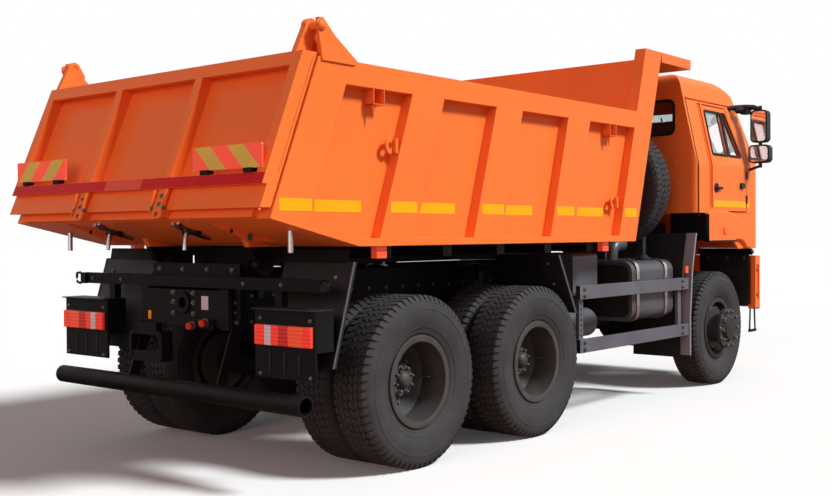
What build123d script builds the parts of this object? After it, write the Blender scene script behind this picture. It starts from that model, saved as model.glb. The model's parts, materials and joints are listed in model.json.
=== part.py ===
from build123d import *
import os

# Three-axle tipper with twin rear wheels, a tilting cab, a tipping bed and a top-hung tailgate.
# Millimetres. +X is forward, +Y is left and +Z is up, with the ground at zero.
# A station is a distance forward of the rearmost axle.

# Running gear
TANDEM_SPACING = 1320
WHEELBASE = 3340
TYRE_R = 541
TYRE_WIDTH = 293
TYRE_WIDEST_R = 410
TREAD_WIDTH = 224
SHOULDER_WIDTH = 262
SHOULDER_DROP = 24
BEAD_R = 268
BEAD_WIDTH = 210
RIM_GAP = 1.5
RIM_WALL = 16
FLANGE_R = 291
FLANGE_WALL = 12
DISC_WALL = 14
DISC_RUN = 80
DISC_KNEE = 60
HAND_HOLES = 8
HAND_HOLE_R = 24
TWIN_SPACING = 320
OUTER_TWIN_Y = 1090
FRONT_TYRE_Y = 970
HUB_R = 135
HUB_INSET = 120
HUB_PROUD = 62
HUB_CAP_R = 98
HUB_CAP_LENGTH = 66
HUB_PLATE_R = 190
HUB_PLATE_Y = 1188
HUB_PLATE_WALL = 34
DRUM_R = 205
DRUM_FAR = 80
SPINDLE_R = 58
SPINDLE_GAP = 1
SPINDLE_SHORT = 20
FRONT_DISC_OUT = 70
FRONT_SPINDLE_PAST = 10
AXLE_TUBE_R = 81
DIFFERENTIAL_R = 200

# Steering
KINGPIN_Y = 780
KINGPIN_R = 20
BOSS_R = 55
BOSS_HALF = 100
CHEEK_GAP = 6
CHEEK_WALL = 40
CHEEK_R = 62
WEB_NEAR = 68
WEB_WALL = 40
HUB_CLEAR = 20
ARM_REACH = 280
ARM_ROOT_R = 42
TIE_PIN_R = 12
TIE_EYE_R = 30
TIE_ROD_R = 20
TIE_DROP = 10
TIE_HEIGHT = 44
PIN_GAP = 1

# Springs and bogie
SPRING_Y = 430
SPRING_WIDTH = 90
FRONT_SPRING_HALF = 690
FRONT_SPRING_LOW = 628
FRONT_SPRING_WALL = 56
BOGIE_SPRING_WALL = 84
BOGIE_SPRING_RISE = 70
BOGIE_OVERHANG = 90
BOGIE_PAD = 43
TRUNNION_Z = 669
TRUNNION_R = 48
SADDLE_HALF = 110
SADDLE_GAP = 4
HANGER_HALF = 70
HANGER_TOP_HALF = 190
HANGER_WALL = 50
HANGER_PLATE = 24

# Chassis ladder
RAIL_OUT = 430
RAIL_FLANGE = 80
RAIL_WALL = 10
RAIL_LOW = 880
RAIL_TOP = 1130
RAIL_REAR = -880
RAIL_BUMPER_GAP = 160
CROSS_TUBE_AHEAD = 480
CROSS_TUBE_CAB_GAP = 850
CROSS_TUBE_R = 55
END_MEMBER_WALL = 60
SUBFRAME_TOP = 1225
SUBFRAME_BEAM = 80
LIFT_BEAM_STATION = 1125
TOW_HOLE_R = 32

# Rear end
CROSSBEAM_STATION = -815
CROSSBEAM_HALF = 1180
CROSSBEAM_DEPTH = 50
CROSSBEAM_HEIGHT = 74
CROSSBEAM_GAP = 2
CROSSBEAM_PLATE = 48
CROSSBEAM_PLATE_DROP = 190
LAMP_BOX_REAR = -940
LAMP_BOX_DEPTH = 145
LAMP_BOX_IN = 735
LAMP_BOX_OUT = 1228
LAMP_BOX_LOW = 800
LAMP_BOX_TOP = 1032
LAMP_FLAP_LOW = 640
LAMP_FLAP_WALL = 14
LAMP_STRUT = 60
LAMP_IN = 752
LAMP_OUT = 1222
LAMP_LOW = 826
LAMP_TOP = 950
LAMP_WALL = 28
PIPE_STATION = -986
PIPE_Z = 508
PIPE_R = 58
PIPE_WALL = 9
PIPE_HALF = 1198
PIPE_HANGER_WALL = 12
PIPE_HANGER_WIDTH = 80
PIPE_HANGER_TOP = 1090

# Bed
BED_HALF = 1250
RIB_DEPTH = 70
PANEL_WALL = 25
FLOOR_WALL = 50
FLOOR_LOW = 1392
KINK_STATION = -600
LIP_STATION = -1290
LIP_LOW = 1548
BED_CAB_GAP = 1237
SIDE_TOP = 2450
TOP_RAIL_HEIGHT = 136
LOW_RAIL_HEIGHT = 46
REAR_LEAN = 0.412
FRONT_LEAN = 0.295
REAR_POST_WIDTH = 270
FRONT_POST_WIDTH = 285
RIB_WIDTH = 315
RIB_SINK = 10
HEAD_TOP = 2900
HEAD_WALL = 36
HEAD_DEPTH = 110
HEAD_POST_WIDTH = 90
HEAD_POST_PITCH = 520
HEAD_SINK = 6
VISOR_RISE = 84
VISOR_CAB_GAP = 214
VISOR_WALL = 26
BED_BEAM_Y = 390
BED_BEAM_WIDTH = 80
BED_BEAM_LOW = 1262
BED_BEAM_SHORT = 60
CROSS_RIBS = 5
CROSS_RIB_REAR = -300
CROSS_RIB_FRONT_BACK = 613
CROSS_RIB_WIDTH = 90
CROSS_RIB_LOW = 1318
WELD_SINK = 10
TIP_STATION = -660
TIP_Z = 1275
TIP_PIN_R = 30
TIP_PIN_PAST = 10
TIP_CROWN = 15
TIP_LUG_R = 70
TIP_LUG_Y = 470
TIP_LUG_WALL = 50
TIP_LUG_NECK = 60
TIP_LUG_REAR = 160
TIP_LUG_FRONT = 190
MARKER_REAR = -365
MARKER_FRONT_BACK = 426
MARKER_LENGTH = 88
MARKER_WIDTH = 46
MARKER_HEIGHT = 74
MARKER_OUT = 1215

# Tailgate
GATE_HALF = 1238
GATE_GAP = 8
GATE_WALL = 30
GATE_DEPTH = 112
GATE_LOWER_DEPTH = 78
GATE_LOW = 1606
GATE_LEDGE = 1732
GATE_BEAM = 64
GATE_TOP = 2470
GATE_TOP_BEAM = 80
GATE_SIDE_WIDTH = 70
GATE_RIB_Y = 395
GATE_RIB_WIDTH = 66
GATE_PIVOT_STATION = -906
GATE_PIVOT_Z = 2618
GATE_PIN_R = 22
GATE_ARM_R = 48
GATE_ARM_Y = 1165
GATE_ARM_WALL = 38
BRACKET_WALL = 30
BRACKET_WIDTH = 274
BRACKET_INSET = 24
BRACKET_SINK = 32
BRACKET_PEAK = 47
BRACKET_PEAK_WIDTH = 34
BRACKET_PEAK_BACK = 8
LOCK_WIDTH = 92
LOCK_PROUD = 22
LOCK_LOW = 1560
LOCK_HOLE_R = 15
BOARD_IN = 637
BOARD_OUT = 1210
BOARD_LOW = 1820
BOARD_TOP = 1950
BOARD_WALL = 10

# Lift cylinder
LIFT_BASE_STATION = 900
LIFT_BASE_Z = 780
LIFT_EYE_STATION = 1000
LIFT_EYE_Z = 1290
LIFT_BARREL_R = 105
LIFT_STEP_R = 17
LIFT_STEP_UP = 8
LIFT_STEP_FOOT = 4
LIFT_SLEEVE_GAP = 1
LIFT_END_WALL = 12
LIFT_SLEEVE_END = 2
LIFT_HEAD = 54
LIFT_FOOT = 60
LIFT_PIN_R = 34
LIFT_CHEEK_Y = 150
LIFT_CHEEK_WALL = 36
LIFT_STAGES = 3
LIFT_EYE_R = 40
LIFT_EYE_NECK_R = 20
LIFT_EAR_WALL = 30
LIFT_EAR_HALF = 50
LIFT_TRAVERSE_LOW = 1354

# Cab, with stations behind or ahead of the front axle
CAB_REAR_BACK = 710
CAB_LENGTH = 1540
CAB_HALF = 1205
CAB_FLOOR = 1640
CAB_LOW = 1300
CAB_WAIST = 2080
CAB_HEIGHT = 1290
ROOF_CAP_HEIGHT = 230
CAB_SEAM_GAP = 1
CAB_ROOF_HALF = 1020
CAB_ROOF_EDGE_R = 150
CAB_ROOF_REAR_R = 110
CAB_WAIST_R = 320
CAB_WALL = 42
CAB_FRONT_CORNER_R = 230
CAB_REAR_CORNER_R = 60
BROW_BACK = 690
BROW_DROP = 12
SCREEN_TOP_BACK = 430
SCREEN_TOP_DROP = 130
WAIST_BACK = 112
APRON_BACK = 66
APRON_TOP = 1690
APRON_LOW = 1600
CAB_PIVOT_BACK = 65
CAB_PIVOT_Z = 1262
CAB_TUBE_R = 24
CAB_TUBE_HALF = 560
CAB_POST = 70
CAB_LUG_R = 36
CAB_LUG_IN = 470
CAB_LUG_WIDTH = 70
GRILLE_HALF = 640
GRILLE_LOW = 1345
GRILLE_SLOTS = 4
GRILLE_PITCH = 58
GRILLE_SLOT = 34
GRILLE_DEPTH = 18
DOOR_REAR_BACK = 424
DOOR_FRONT_AHEAD = 402
DOOR_GAP = 12
DOOR_LOW = 1662
DOOR_TOP_DROP = 45
DOOR_SHOULDER = 30
DOOR_TOP_AHEAD = 170
PANE_SILL_RISE = 116
PANE_TOP_DROP = 55
PANE_REAR_BACK = 310
PANE_DIVIDER_AHEAD = 40
PANE_DIVIDER = 26
PANE_SILL_AHEAD = 330
PANE_TOP_AHEAD = 140
WINDSCREEN_Y = 1010
WINDSCREEN_RISE = 30
REAR_WINDOW_WIDTH = 300
REAR_WINDOW_MID_WIDTH = 660
REAR_WINDOW_Y = 830
REAR_WINDOW_HEIGHT = 300
REAR_WINDOW_DROP = 30
REAR_WINDOW_R = 60
GLASS_INSET = 14
GLASS_WALL = 8
GLASS_GAP = 2
FENDER_REAR_BACK = 541
FENDER_FRONT_AHEAD = 530
FENDER_ARCH_Z = 1385
FENDER_IN = 860
FENDER_WALL = 26
FENDER_GAP = 2
FENDER_PROUD = 8
ARCH_FRONT_AHEAD = 190
ARCH_FRONT_RUN = 110
FLARE_PROUD = 34
FLARE_TOP = 1630
FLARE_FLAT_AHEAD = -260
FLARE_END_AHEAD = 60
MIRROR_BACK = 340
MIRROR_Y = 1315
MIRROR_TALL_WIDTH = 170
MIRROR_WIDE_WIDTH = 210
MIRROR_TALL_HEIGHT = 320
MIRROR_WIDE_HEIGHT = 178
MIRROR_HEAD_GAP = 22
MIRROR_ARM_GAP = 16
MIRROR_DEPTH = 90
MIRROR_CORNER_R = 45
MIRROR_POST_R = 17
MIRROR_ARM_R = 13
MIRROR_ARM_DROP = 24
MIRROR_ARM_ROOT_Y = 1030
MIRROR_ARM_ROOT_BACK = 130
MIRROR_FOOT_Y = 1150
MIRROR_FOOT_Z = 2060
KERB_MIRROR_WIDTH = 75
KERB_MIRROR_LENGTH = 100
KERB_MIRROR_HEIGHT = 54

# Bumper
BUMPER_PROUD = 70
BUMPER_LENGTH = 270
BUMPER_LOW = 695
BUMPER_TOP = 1222
BUMPER_HALF = 1205
BUMPER_CORNER_R = 190
BUMPER_WALL = 45
BUMPER_PANEL_DEPTH = 14
BUMPER_PANEL_REAR = 24
BUMPER_PANEL_LENGTH = 70
BUMPER_PANEL_MARGIN = 90
HEADLAMP_IN = 660
HEADLAMP_OUT = 960
HEADLAMP_LOW = 900
HEADLAMP_TOP = 1080
HEADLAMP_DEPTH = 30
STIRRUP_R = 8
STIRRUP_Y = 1150
STIRRUP_LOW = 470
STIRRUP_BACK = 215
STIRRUP_TOP_HALF = 50
STIRRUP_LOW_HALF = 70
STIRRUP_SINK = 30

# Cab inside
SEAT_PITCH = 640
SEAT_REAR_GAP = 380
KNEE_ROOM = 260
SEAT_HALF = 250
SEAT_PAD = 130
SEAT_STAND = 200
SEAT_STAND_INSET = 60
SEAT_BACK_HALF = 240
HEAD_ROOM = 370
SEAT_BACK_WALL = 120
SEAT_BACK_LEAN = 120
SEAT_BACK_GAP = 20
DASH_BACK = 160
DASH_LENGTH = 270
DASH_HALF = 1090
DASH_LOW = 1760
DASH_TOP = 2120
DASH_FACE_TOP = 2060
DASH_CROWN = 80
STEERING_WHEEL_R = 215
STEERING_RIM_R = 16
STEERING_HUB_R = 48
STEERING_HUB_LENGTH = 30
STEERING_SPOKE = 34
COLUMN_R = 24
COLUMN_RUN = 130
COLUMN_RISE = 93

# Power train
ENGINE_BACK = 430
ENGINE_LENGTH = 900
ENGINE_HALF = 310
ENGINE_LOW = 790
ENGINE_TOP = 1560
GEARBOX_LENGTH = 850
GEARBOX_HALF = 190
GEARBOX_LOW = 780
GEARBOX_TOP = 1090
TRANSFER_AHEAD = 1100
TRANSFER_LENGTH = 360
TRANSFER_HALF = 170
TRANSFER_LOW = 600
TRANSFER_TOP = 860
SHAFT_R = 42
SHAFT_SINK = 8
SHAFT_RISE = 30
SHAFT_REAR_Z = 690
SHAFT_FRONT_Z = 660
SHAFT_GEARBOX_Z = 900
SHAFT_TRANSFER_Z = 760

# Chassis equipment, in shares of the bay from the tandem's tyres to the cab's rear wall
TANK_SPAN = (0.483, 0.842)
TANK_IN = 560
TANK_OUT = 1130
TANK_LOW = 722
TANK_TOP = 1222
TANK_CORNER_R = 90
TANK_FOOT_INSET = 60
RAIL_FOOT_INSET = 40
STRAP_WALL = 7
STRAP_WIDTH = 44
STRAP_REAR = 72
STRAP_FRONT = 168
ELBOW_R = 52
ELBOW_BEND_R = 95
ELBOW_Y = 800
ELBOW_REAR = 250
ELBOW_RISE = 40
ELBOW_RUN = 90
GUARD_TYRE_GAP = 64
GUARD_CAB_GAP = 160
GUARD_Y = 1200
GUARD_WALL = 32
GUARD_RAIL = 104
GUARD_UPPER = 954
GUARD_LOWER = 543
GUARD_POST_WIDTH = 60
GUARD_POST_WALL = 28
GUARD_POST_INSET = 35
GUARD_FRONT_POST_BACK = 150
GUARD_ARM_LOW = 890
GUARD_ARM_HEIGHT = 70
GUARD_ARM_WIDTH = 40
AIR_TANK_R = 120
AIR_TANK_Y = 640
AIR_TANK_SPAN = (0.4974, 0.8564)
AIR_TANK_DROP = 20
AIR_TANK_FOOT = 30
AIR_TANK_FOOT_INSET = 105
AIR_TANK_FOOT_OUT = 560
BATTERY_SPAN = (0.1096, 0.4112)
BATTERY_IN = 560
BATTERY_OUT = 1120
BATTERY_LOW = 760
BATTERY_TOP = 1180
OIL_TANK_SPAN = (0.1527, 0.3346)
OIL_TANK_IN = 540
OIL_TANK_OUT = 980
OIL_TANK_LOW = 960
OIL_TANK_TOP = 1300
OIL_TANK_CORNER_R = 40
OIL_TANK_FOOT_DROP = 20
SILENCER_SPAN = (0.1383, 0.4016)
SILENCER_R = 118
SILENCER_Y = 780
SILENCER_Z = 715
TAILPIPE_R = 50
TAILPIPE_WALL = 6
TAILPIPE_LENGTH = 140
SILENCER_STRAP = 80
SILENCER_STRAP_IN = 150
SILENCER_SHELF = 24
SILENCER_SHELF_OUT = 200
SILENCER_SHELF_PAST = 90

# Mudguards
FLAP_IN = 640
FLAP_OUT = 1215
FLAP_WALL = 30
FLAP_TOP = 1300
REAR_FLAP_TOP_STATION = -610
REAR_FLAP_LOW_STATION = -790
REAR_FLAP_LOW = 700
FORE_FLAP_TOP_AHEAD = 275
FORE_FLAP_LOW_AHEAD = 510
FORE_FLAP_LOW = 860
FLAP_BRACKET = 40
FLAP_BRACKET_Y = 700
FLAP_BRACKET_HEIGHT = 50
FLAP_BRACKET_FOOT = 30
FLAP_BRACKET_DROP = 60
REAR_BRACKET_RISE = 10
REAR_BRACKET_BACK = 52
FORE_BRACKET_RISE = 40
FORE_BRACKET_AHEAD = 45
CAB_FLAP_WALL = 18
CAB_FLAP_LOW = 335
CAB_FLAP_BRACKET_LOW = 1050

# Spare wheel
SPARE_CAB_GAP = 430
SPARE_Y = -560
SPARE_Z = 1880
CARRIER_AHEAD = 180
CARRIER_DEPTH = 60
CARRIER_BAR = 70
CARRIER_HALF = 200
CARRIER_TOP = 2180

SIDES = {"left": 1, "right": -1}
REAR_AXLES = {"rear": 0, "mid": TANDEM_SPACING}
FRONT_AXLE = TANDEM_SPACING + WHEELBASE
CAB_REAR = FRONT_AXLE - CAB_REAR_BACK
CAB_FRONT = CAB_REAR + CAB_LENGTH
CAB_ROOF = CAB_FLOOR + CAB_HEIGHT
CAB_ROOF_SEAM = CAB_ROOF - ROOF_CAP_HEIGHT
SCREEN_TOP = CAB_ROOF - SCREEN_TOP_DROP
WINDSCREEN_LOW = CAB_WAIST + WINDSCREEN_RISE
REAR_WINDOW_TOP = CAB_ROOF_SEAM - REAR_WINDOW_DROP
DOOR_TOP = CAB_ROOF_SEAM - DOOR_TOP_DROP
PANE_SILL = CAB_WAIST + PANE_SILL_RISE
PANE_TOP = DOOR_TOP - PANE_TOP_DROP
BED_FRONT = CAB_REAR - BED_CAB_GAP
VISOR_FRONT = CAB_REAR - VISOR_CAB_GAP
BUMPER_FRONT = CAB_FRONT + BUMPER_PROUD
BUMPER_REAR = BUMPER_FRONT - BUMPER_LENGTH
RAIL_FRONT = BUMPER_FRONT - RAIL_BUMPER_GAP
PANEL_OUT = BED_HALF - RIB_DEPTH
PANEL_IN = PANEL_OUT - PANEL_WALL
VISOR_TOP = HEAD_TOP + VISOR_RISE


def rear_edge(z):
    """Station of the bed's leaning rear edge at a height."""
    return LIP_STATION + REAR_LEAN * (z - LIP_LOW)


def front_edge(z):
    """Station of the front post's leaning front edge at a height."""
    return BED_FRONT + FRONT_LEAN * (z - FLOOR_LOW)


LOCK_REACH = GATE_GAP + GATE_LOWER_DEPTH + LOCK_PROUD
REAR_REACH = rear_edge(LOCK_LOW) - LOCK_REACH
MID_SHIFT = -(BUMPER_FRONT + REAR_REACH) / 2


def at(station):
    """The x of a station, with x zero at the middle of the truck's length."""
    return station + MID_SHIFT


def span(sign, near, far):
    """The y range between two distances from the centre line, on one side."""
    return tuple(sorted((sign * near, sign * far)))


def about(middle, width):
    """The range of a width about a middle."""
    return (middle - width / 2, middle + width / 2)


def side_plane(y):
    return Plane(origin=(MID_SHIFT, y, 0), x_dir=(1, 0, 0), z_dir=(0, -1, 0))


def cross_plane(station):
    return Plane(origin=(at(station), 0, 0), x_dir=(0, 1, 0), z_dir=(1, 0, 0))


def level_plane(z):
    return Plane(origin=(MID_SHIFT, 0, z))


def block(stations, y, z, mode=Mode.ADD):
    """Add a box between the two ends given on each axis."""
    middle = (at(sum(stations) / 2), sum(y) / 2, sum(z) / 2)
    with Locations(middle):
        Box(stations[1] - stations[0], y[1] - y[0], z[1] - z[0], mode=mode)


def side_sheet(points, y, mode=Mode.ADD):
    """Extrude an outline of (station, z) points across a y range."""
    with BuildSketch(side_plane(y[1])) as outline:
        Polygon(*points)
    extrude(outline.sketch, amount=y[1] - y[0], mode=mode)


def cross_slab(y, z, stations, corner, mode=Mode.ADD):
    """Extrude a rounded rectangle, seen from the rear, between two stations."""
    with BuildSketch(cross_plane(stations[0])) as outline:
        with Locations((sum(y) / 2, sum(z) / 2)):
            RectangleRounded(y[1] - y[0], z[1] - z[0], corner)
    extrude(outline.sketch, amount=stations[1] - stations[0], mode=mode)


def plan_slab(rear, front, half, corner, z, mode=Mode.ADD):
    """Extrude a plan outline with rounded front corners between two heights."""
    with BuildSketch(level_plane(z[0])) as plan:
        Polygon((rear, -half), (front, -half), (front, half), (rear, half))
        fillet(plan.vertices().group_by(Axis.X)[-1], corner)
    extrude(plan.sketch, amount=z[1] - z[0], mode=mode)


def rod(start, end, radius, bore=0, mode=Mode.ADD):
    """A round bar or tube between two (station, y, z) points."""
    first = Vector(at(start[0]), start[1], start[2])
    run = Vector(at(end[0]), end[1], end[2]) - first
    with BuildSketch(Plane(origin=first, z_dir=run)) as section:
        Circle(radius)
        if bore:
            Circle(bore, mode=Mode.SUBTRACT)
    extrude(section.sketch, amount=run.length, mode=mode)


def cross_rod(station, y, z, radius, mode=Mode.ADD):
    """A round bar along y."""
    rod((station, y[0], z), (station, y[1], z), radius, mode=mode)


def turned(station, sign, outlines):
    """Revolve outlines of (distance from the centre line, radius) about a wheel's axis."""
    with BuildSketch(cross_plane(station)) as section:
        for outline in outlines:
            Polygon(*[(sign * y, TYRE_R + radius) for y, radius in outline])
    revolve(section.sketch, axis=Axis((at(station), 0, TYRE_R), (0, 1, 0)))


def ring(near, far, inner, outer):
    """Outline of a plain ring between two distances and two radii."""
    return [(near, inner), (far, inner), (far, outer), (near, outer)]


def keep(builder, name):
    """Label a finished piece and write it."""
    builder.part.label = name
    export_step(builder.part, f"parts/{name}.step")


os.makedirs("parts", exist_ok=True)


# Tyres and wheels
def tyre(plane):
    """A solid tyre ring about the plane's x axis."""
    bead = BEAD_WIDTH / 2
    tread = TREAD_WIDTH / 2
    shoulder = SHOULDER_WIDTH / 2
    bead_top = FLANGE_R + RIM_GAP
    with BuildSketch(plane) as section:
        with BuildLine():
            for sign in (1, -1):
                Line((sign * bead, BEAD_R), (sign * bead, bead_top))
                ThreePointArc(
                    (sign * bead, bead_top),
                    (sign * TYRE_WIDTH / 2, TYRE_WIDEST_R),
                    (sign * shoulder, TYRE_R - SHOULDER_DROP),
                )
                Line((sign * shoulder, TYRE_R - SHOULDER_DROP), (sign * tread, TYRE_R))
            Line((-bead, BEAD_R), (bead, BEAD_R))
            Line((-tread, TYRE_R), (tread, TYRE_R))
        make_face()
    revolve(section.sketch, axis=Axis(plane.origin, plane.x_dir))


def wheel_plane(station, y):
    return Plane(origin=(at(station), y, TYRE_R), x_dir=(0, 1, 0), z_dir=(1, 0, 0))


BARREL_OUTER = BEAD_R - RIM_GAP
BARREL_INNER = BARREL_OUTER - RIM_WALL


def barrel_outlines(middle):
    """Rim barrel and flanges about a tyre's middle plane."""
    bead = BEAD_WIDTH / 2 + RIM_GAP
    edge = bead + FLANGE_WALL
    barrel = ring(middle - edge, middle + edge, BARREL_INNER, BARREL_OUTER)
    flanges = [
        ring(middle + sign * bead, middle + sign * edge, BARREL_INNER, FLANGE_R) for sign in (1, -1)
    ]
    return [barrel, *flanges]


def disc_outline(rim_y, face_y, lean):
    """Dished disc from the barrel to the hub; lean is the side its wall thickens to."""
    outer = BARREL_INNER + RIM_WALL / 2
    knee = HUB_R + DISC_KNEE
    wall = lean * DISC_WALL
    near = HUB_R - DISC_WALL
    return [
        (rim_y, outer),
        (rim_y + wall, outer),
        (face_y + wall, knee),
        (face_y + wall, near),
        (face_y, near),
        (face_y, knee),
    ]


INNER_TWIN_Y = OUTER_TWIN_Y - TWIN_SPACING
DISC_MEET_Y = OUTER_TWIN_Y - TWIN_SPACING / 2
REAR_HUB_IN = INNER_TWIN_Y - HUB_INSET
REAR_HUB_OUT = DISC_MEET_Y + HUB_PROUD
REAR_SPINDLE_END = DISC_MEET_Y - SPINDLE_SHORT
HUB_BORE = SPINDLE_R + SPINDLE_GAP

for axle, station in REAR_AXLES.items():
    for side, sign in SIDES.items():
        with BuildPart() as twin_tyres:
            for y in (OUTER_TWIN_Y, INNER_TWIN_Y):
                tyre(wheel_plane(station, sign * y))
        keep(twin_tyres, f"tyres_{axle}_{side}")

        cap_end = REAR_HUB_OUT + HUB_CAP_LENGTH
        spindle_room = REAR_SPINDLE_END + SPINDLE_GAP
        with BuildPart() as twin_rims:
            turned(station, sign, [
                *barrel_outlines(OUTER_TWIN_Y),
                *barrel_outlines(INNER_TWIN_Y),
                disc_outline(DISC_MEET_Y + DISC_RUN, DISC_MEET_Y, 1),
                disc_outline(DISC_MEET_Y - DISC_RUN, DISC_MEET_Y, -1),
                ring(REAR_HUB_IN, spindle_room, HUB_BORE, HUB_R),
                ring(spindle_room, REAR_HUB_OUT, 0, HUB_R),
                ring(REAR_HUB_OUT, cap_end, 0, HUB_CAP_R),
                ring(REAR_HUB_IN, INNER_TWIN_Y + DRUM_FAR, HUB_R, DRUM_R),
            ])
        keep(twin_rims, f"rims_{axle}_{side}")

FRONT_DISC_Y = FRONT_TYRE_Y + FRONT_DISC_OUT
FRONT_HUB_IN = KINGPIN_Y + WEB_NEAR + WEB_WALL + HUB_CLEAR
FRONT_HUB_OUT = HUB_PLATE_Y - HUB_PLATE_WALL
FRONT_SPINDLE_END = FRONT_DISC_Y + FRONT_SPINDLE_PAST
HAND_HOLE_RING = (HUB_PLATE_R + BARREL_INNER) / 2

for side, sign in SIDES.items():
    with BuildPart() as front_tyre:
        tyre(wheel_plane(FRONT_AXLE, sign * FRONT_TYRE_Y))
    keep(front_tyre, f"tyre_front_{side}")

    spindle_room = FRONT_SPINDLE_END + SPINDLE_GAP
    with BuildPart() as front_rim:
        turned(FRONT_AXLE, sign, [
            *barrel_outlines(FRONT_TYRE_Y),
            disc_outline(FRONT_DISC_Y - DISC_RUN / 2, FRONT_DISC_Y, 1),
            ring(FRONT_HUB_IN, spindle_room, HUB_BORE, HUB_R),
            ring(spindle_room, FRONT_HUB_OUT, 0, HUB_R),
            ring(FRONT_HUB_OUT, HUB_PLATE_Y, 0, HUB_PLATE_R),
        ])
        hole_plane = Plane(origin=(at(FRONT_AXLE), sign * FRONT_DISC_Y, TYRE_R), z_dir=(0, 1, 0))
        with BuildSketch(hole_plane) as hand_holes:
            with PolarLocations(HAND_HOLE_RING, HAND_HOLES):
                Circle(HAND_HOLE_R)
        extrude(hand_holes.sketch, amount=DISC_RUN, both=True, mode=Mode.SUBTRACT)
    keep(front_rim, f"rim_front_{side}")

# Steered front axle
CHEEK_NEAR = BOSS_HALF + CHEEK_GAP
CHEEK_FAR = CHEEK_NEAR + CHEEK_WALL
ARM_STATION = FRONT_AXLE - ARM_REACH
ARM_LOW = TYRE_R - CHEEK_FAR
TIE_TOP = ARM_LOW - TIE_DROP
TIE_LOW = TIE_TOP - TIE_HEIGHT

with BuildPart() as front_axle:
    cross_rod(FRONT_AXLE, (-KINGPIN_Y, KINGPIN_Y), TYRE_R, AXLE_TUBE_R)
    with Locations((at(FRONT_AXLE), 0, TYRE_R)):
        Sphere(DIFFERENTIAL_R)
    for sign in SIDES.values():
        y = sign * KINGPIN_Y
        fork_low = (FRONT_AXLE, y, TYRE_R - CHEEK_FAR)
        fork_high = (FRONT_AXLE, y, TYRE_R + CHEEK_FAR)
        boss_low = (FRONT_AXLE, y, TYRE_R - BOSS_HALF)
        boss_high = (FRONT_AXLE, y, TYRE_R + BOSS_HALF)
        fork_r = CHEEK_R + 2 * CHEEK_GAP
        rod(fork_low, fork_high, fork_r, mode=Mode.SUBTRACT)
        rod(boss_low, boss_high, BOSS_R)
        neck = span(sign, KINGPIN_Y - fork_r - CHEEK_GAP, KINGPIN_Y - BOSS_R / 2)
        block(about(FRONT_AXLE, 2 * BOSS_R), neck, about(TYRE_R, 2 * BOSS_R))
        rod(boss_low, boss_high, KINGPIN_R + PIN_GAP, mode=Mode.SUBTRACT)
        seat_y = about(sign * SPRING_Y, SPRING_WIDTH)
        block(about(FRONT_AXLE, SPRING_WIDTH), seat_y, (TYRE_R, FRONT_SPRING_LOW))
keep(front_axle, "front_axle")

for side, sign in SIDES.items():
    y = sign * KINGPIN_Y
    web_out = KINGPIN_Y + WEB_NEAR + WEB_WALL
    fork = about(FRONT_AXLE, 2 * CHEEK_R)
    with BuildPart() as knuckle:
        block(fork, span(sign, KINGPIN_Y + WEB_NEAR, web_out), about(TYRE_R, 2 * CHEEK_FAR))
        for low, high in ((-CHEEK_FAR, -CHEEK_NEAR), (CHEEK_NEAR, CHEEK_FAR)):
            block(fork, span(sign, KINGPIN_Y, web_out), (TYRE_R + low, TYRE_R + high))
            rod((FRONT_AXLE, y, TYRE_R + low), (FRONT_AXLE, y, TYRE_R + high), CHEEK_R)
        rod((FRONT_AXLE, y, TYRE_R - CHEEK_FAR), (FRONT_AXLE, y, TYRE_R + CHEEK_FAR), KINGPIN_R)
        cross_rod(FRONT_AXLE, span(sign, KINGPIN_Y + WEB_NEAR, FRONT_SPINDLE_END), TYRE_R, SPINDLE_R)
        with BuildSketch(level_plane(ARM_LOW)) as arm:
            with Locations((FRONT_AXLE, y)):
                Circle(ARM_ROOT_R)
            with Locations((ARM_STATION, y)):
                Circle(TIE_EYE_R)
            make_hull()
        extrude(arm.sketch, amount=CHEEK_WALL)
        rod((ARM_STATION, y, TIE_LOW), (ARM_STATION, y, ARM_LOW), TIE_PIN_R)
    keep(knuckle, f"knuckle_{side}")

with BuildPart() as tie_rod:
    cross_rod(ARM_STATION, (-KINGPIN_Y, KINGPIN_Y), (TIE_LOW + TIE_TOP) / 2, TIE_ROD_R)
    for sign in SIDES.values():
        eye = ((ARM_STATION, sign * KINGPIN_Y, TIE_LOW), (ARM_STATION, sign * KINGPIN_Y, TIE_TOP))
        rod(*eye, TIE_EYE_R)
        rod(*eye, TIE_PIN_R + PIN_GAP, mode=Mode.SUBTRACT)
keep(tie_rod, "tie_rod")

# Rear bogie
TRUNNION_STATION = TANDEM_SPACING / 2
BOGIE_SPRING_LOW = TYRE_R + AXLE_TUBE_R + BOGIE_PAD

with BuildPart() as rear_axles:
    for station in REAR_AXLES.values():
        tube_half = REAR_HUB_IN - PIPE_WALL
        cross_rod(station, (-REAR_SPINDLE_END, REAR_SPINDLE_END), TYRE_R, SPINDLE_R)
        cross_rod(station, (-tube_half, tube_half), TYRE_R, AXLE_TUBE_R)
        with Locations((at(station), 0, TYRE_R)):
            Sphere(DIFFERENTIAL_R)
        for sign in SIDES.values():
            pad_y = about(sign * SPRING_Y, SPRING_WIDTH)
            block(about(station, 2 * SPRING_WIDTH), pad_y, (TYRE_R, BOGIE_SPRING_LOW))
keep(rear_axles, "rear_axles")


def leaf_pack(first, middle, last, wall, y):
    """A bowed leaf spring through three (station, z) points of its underside."""
    upper = [(station, z + wall) for station, z in (last, middle, first)]
    with BuildSketch(side_plane(y + SPRING_WIDTH / 2)) as bow:
        with BuildLine():
            ThreePointArc(first, middle, last)
            Line(last, upper[0])
            ThreePointArc(*upper)
            Line(upper[-1], first)
        make_face()
    extrude(bow.sketch, amount=SPRING_WIDTH)


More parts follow.
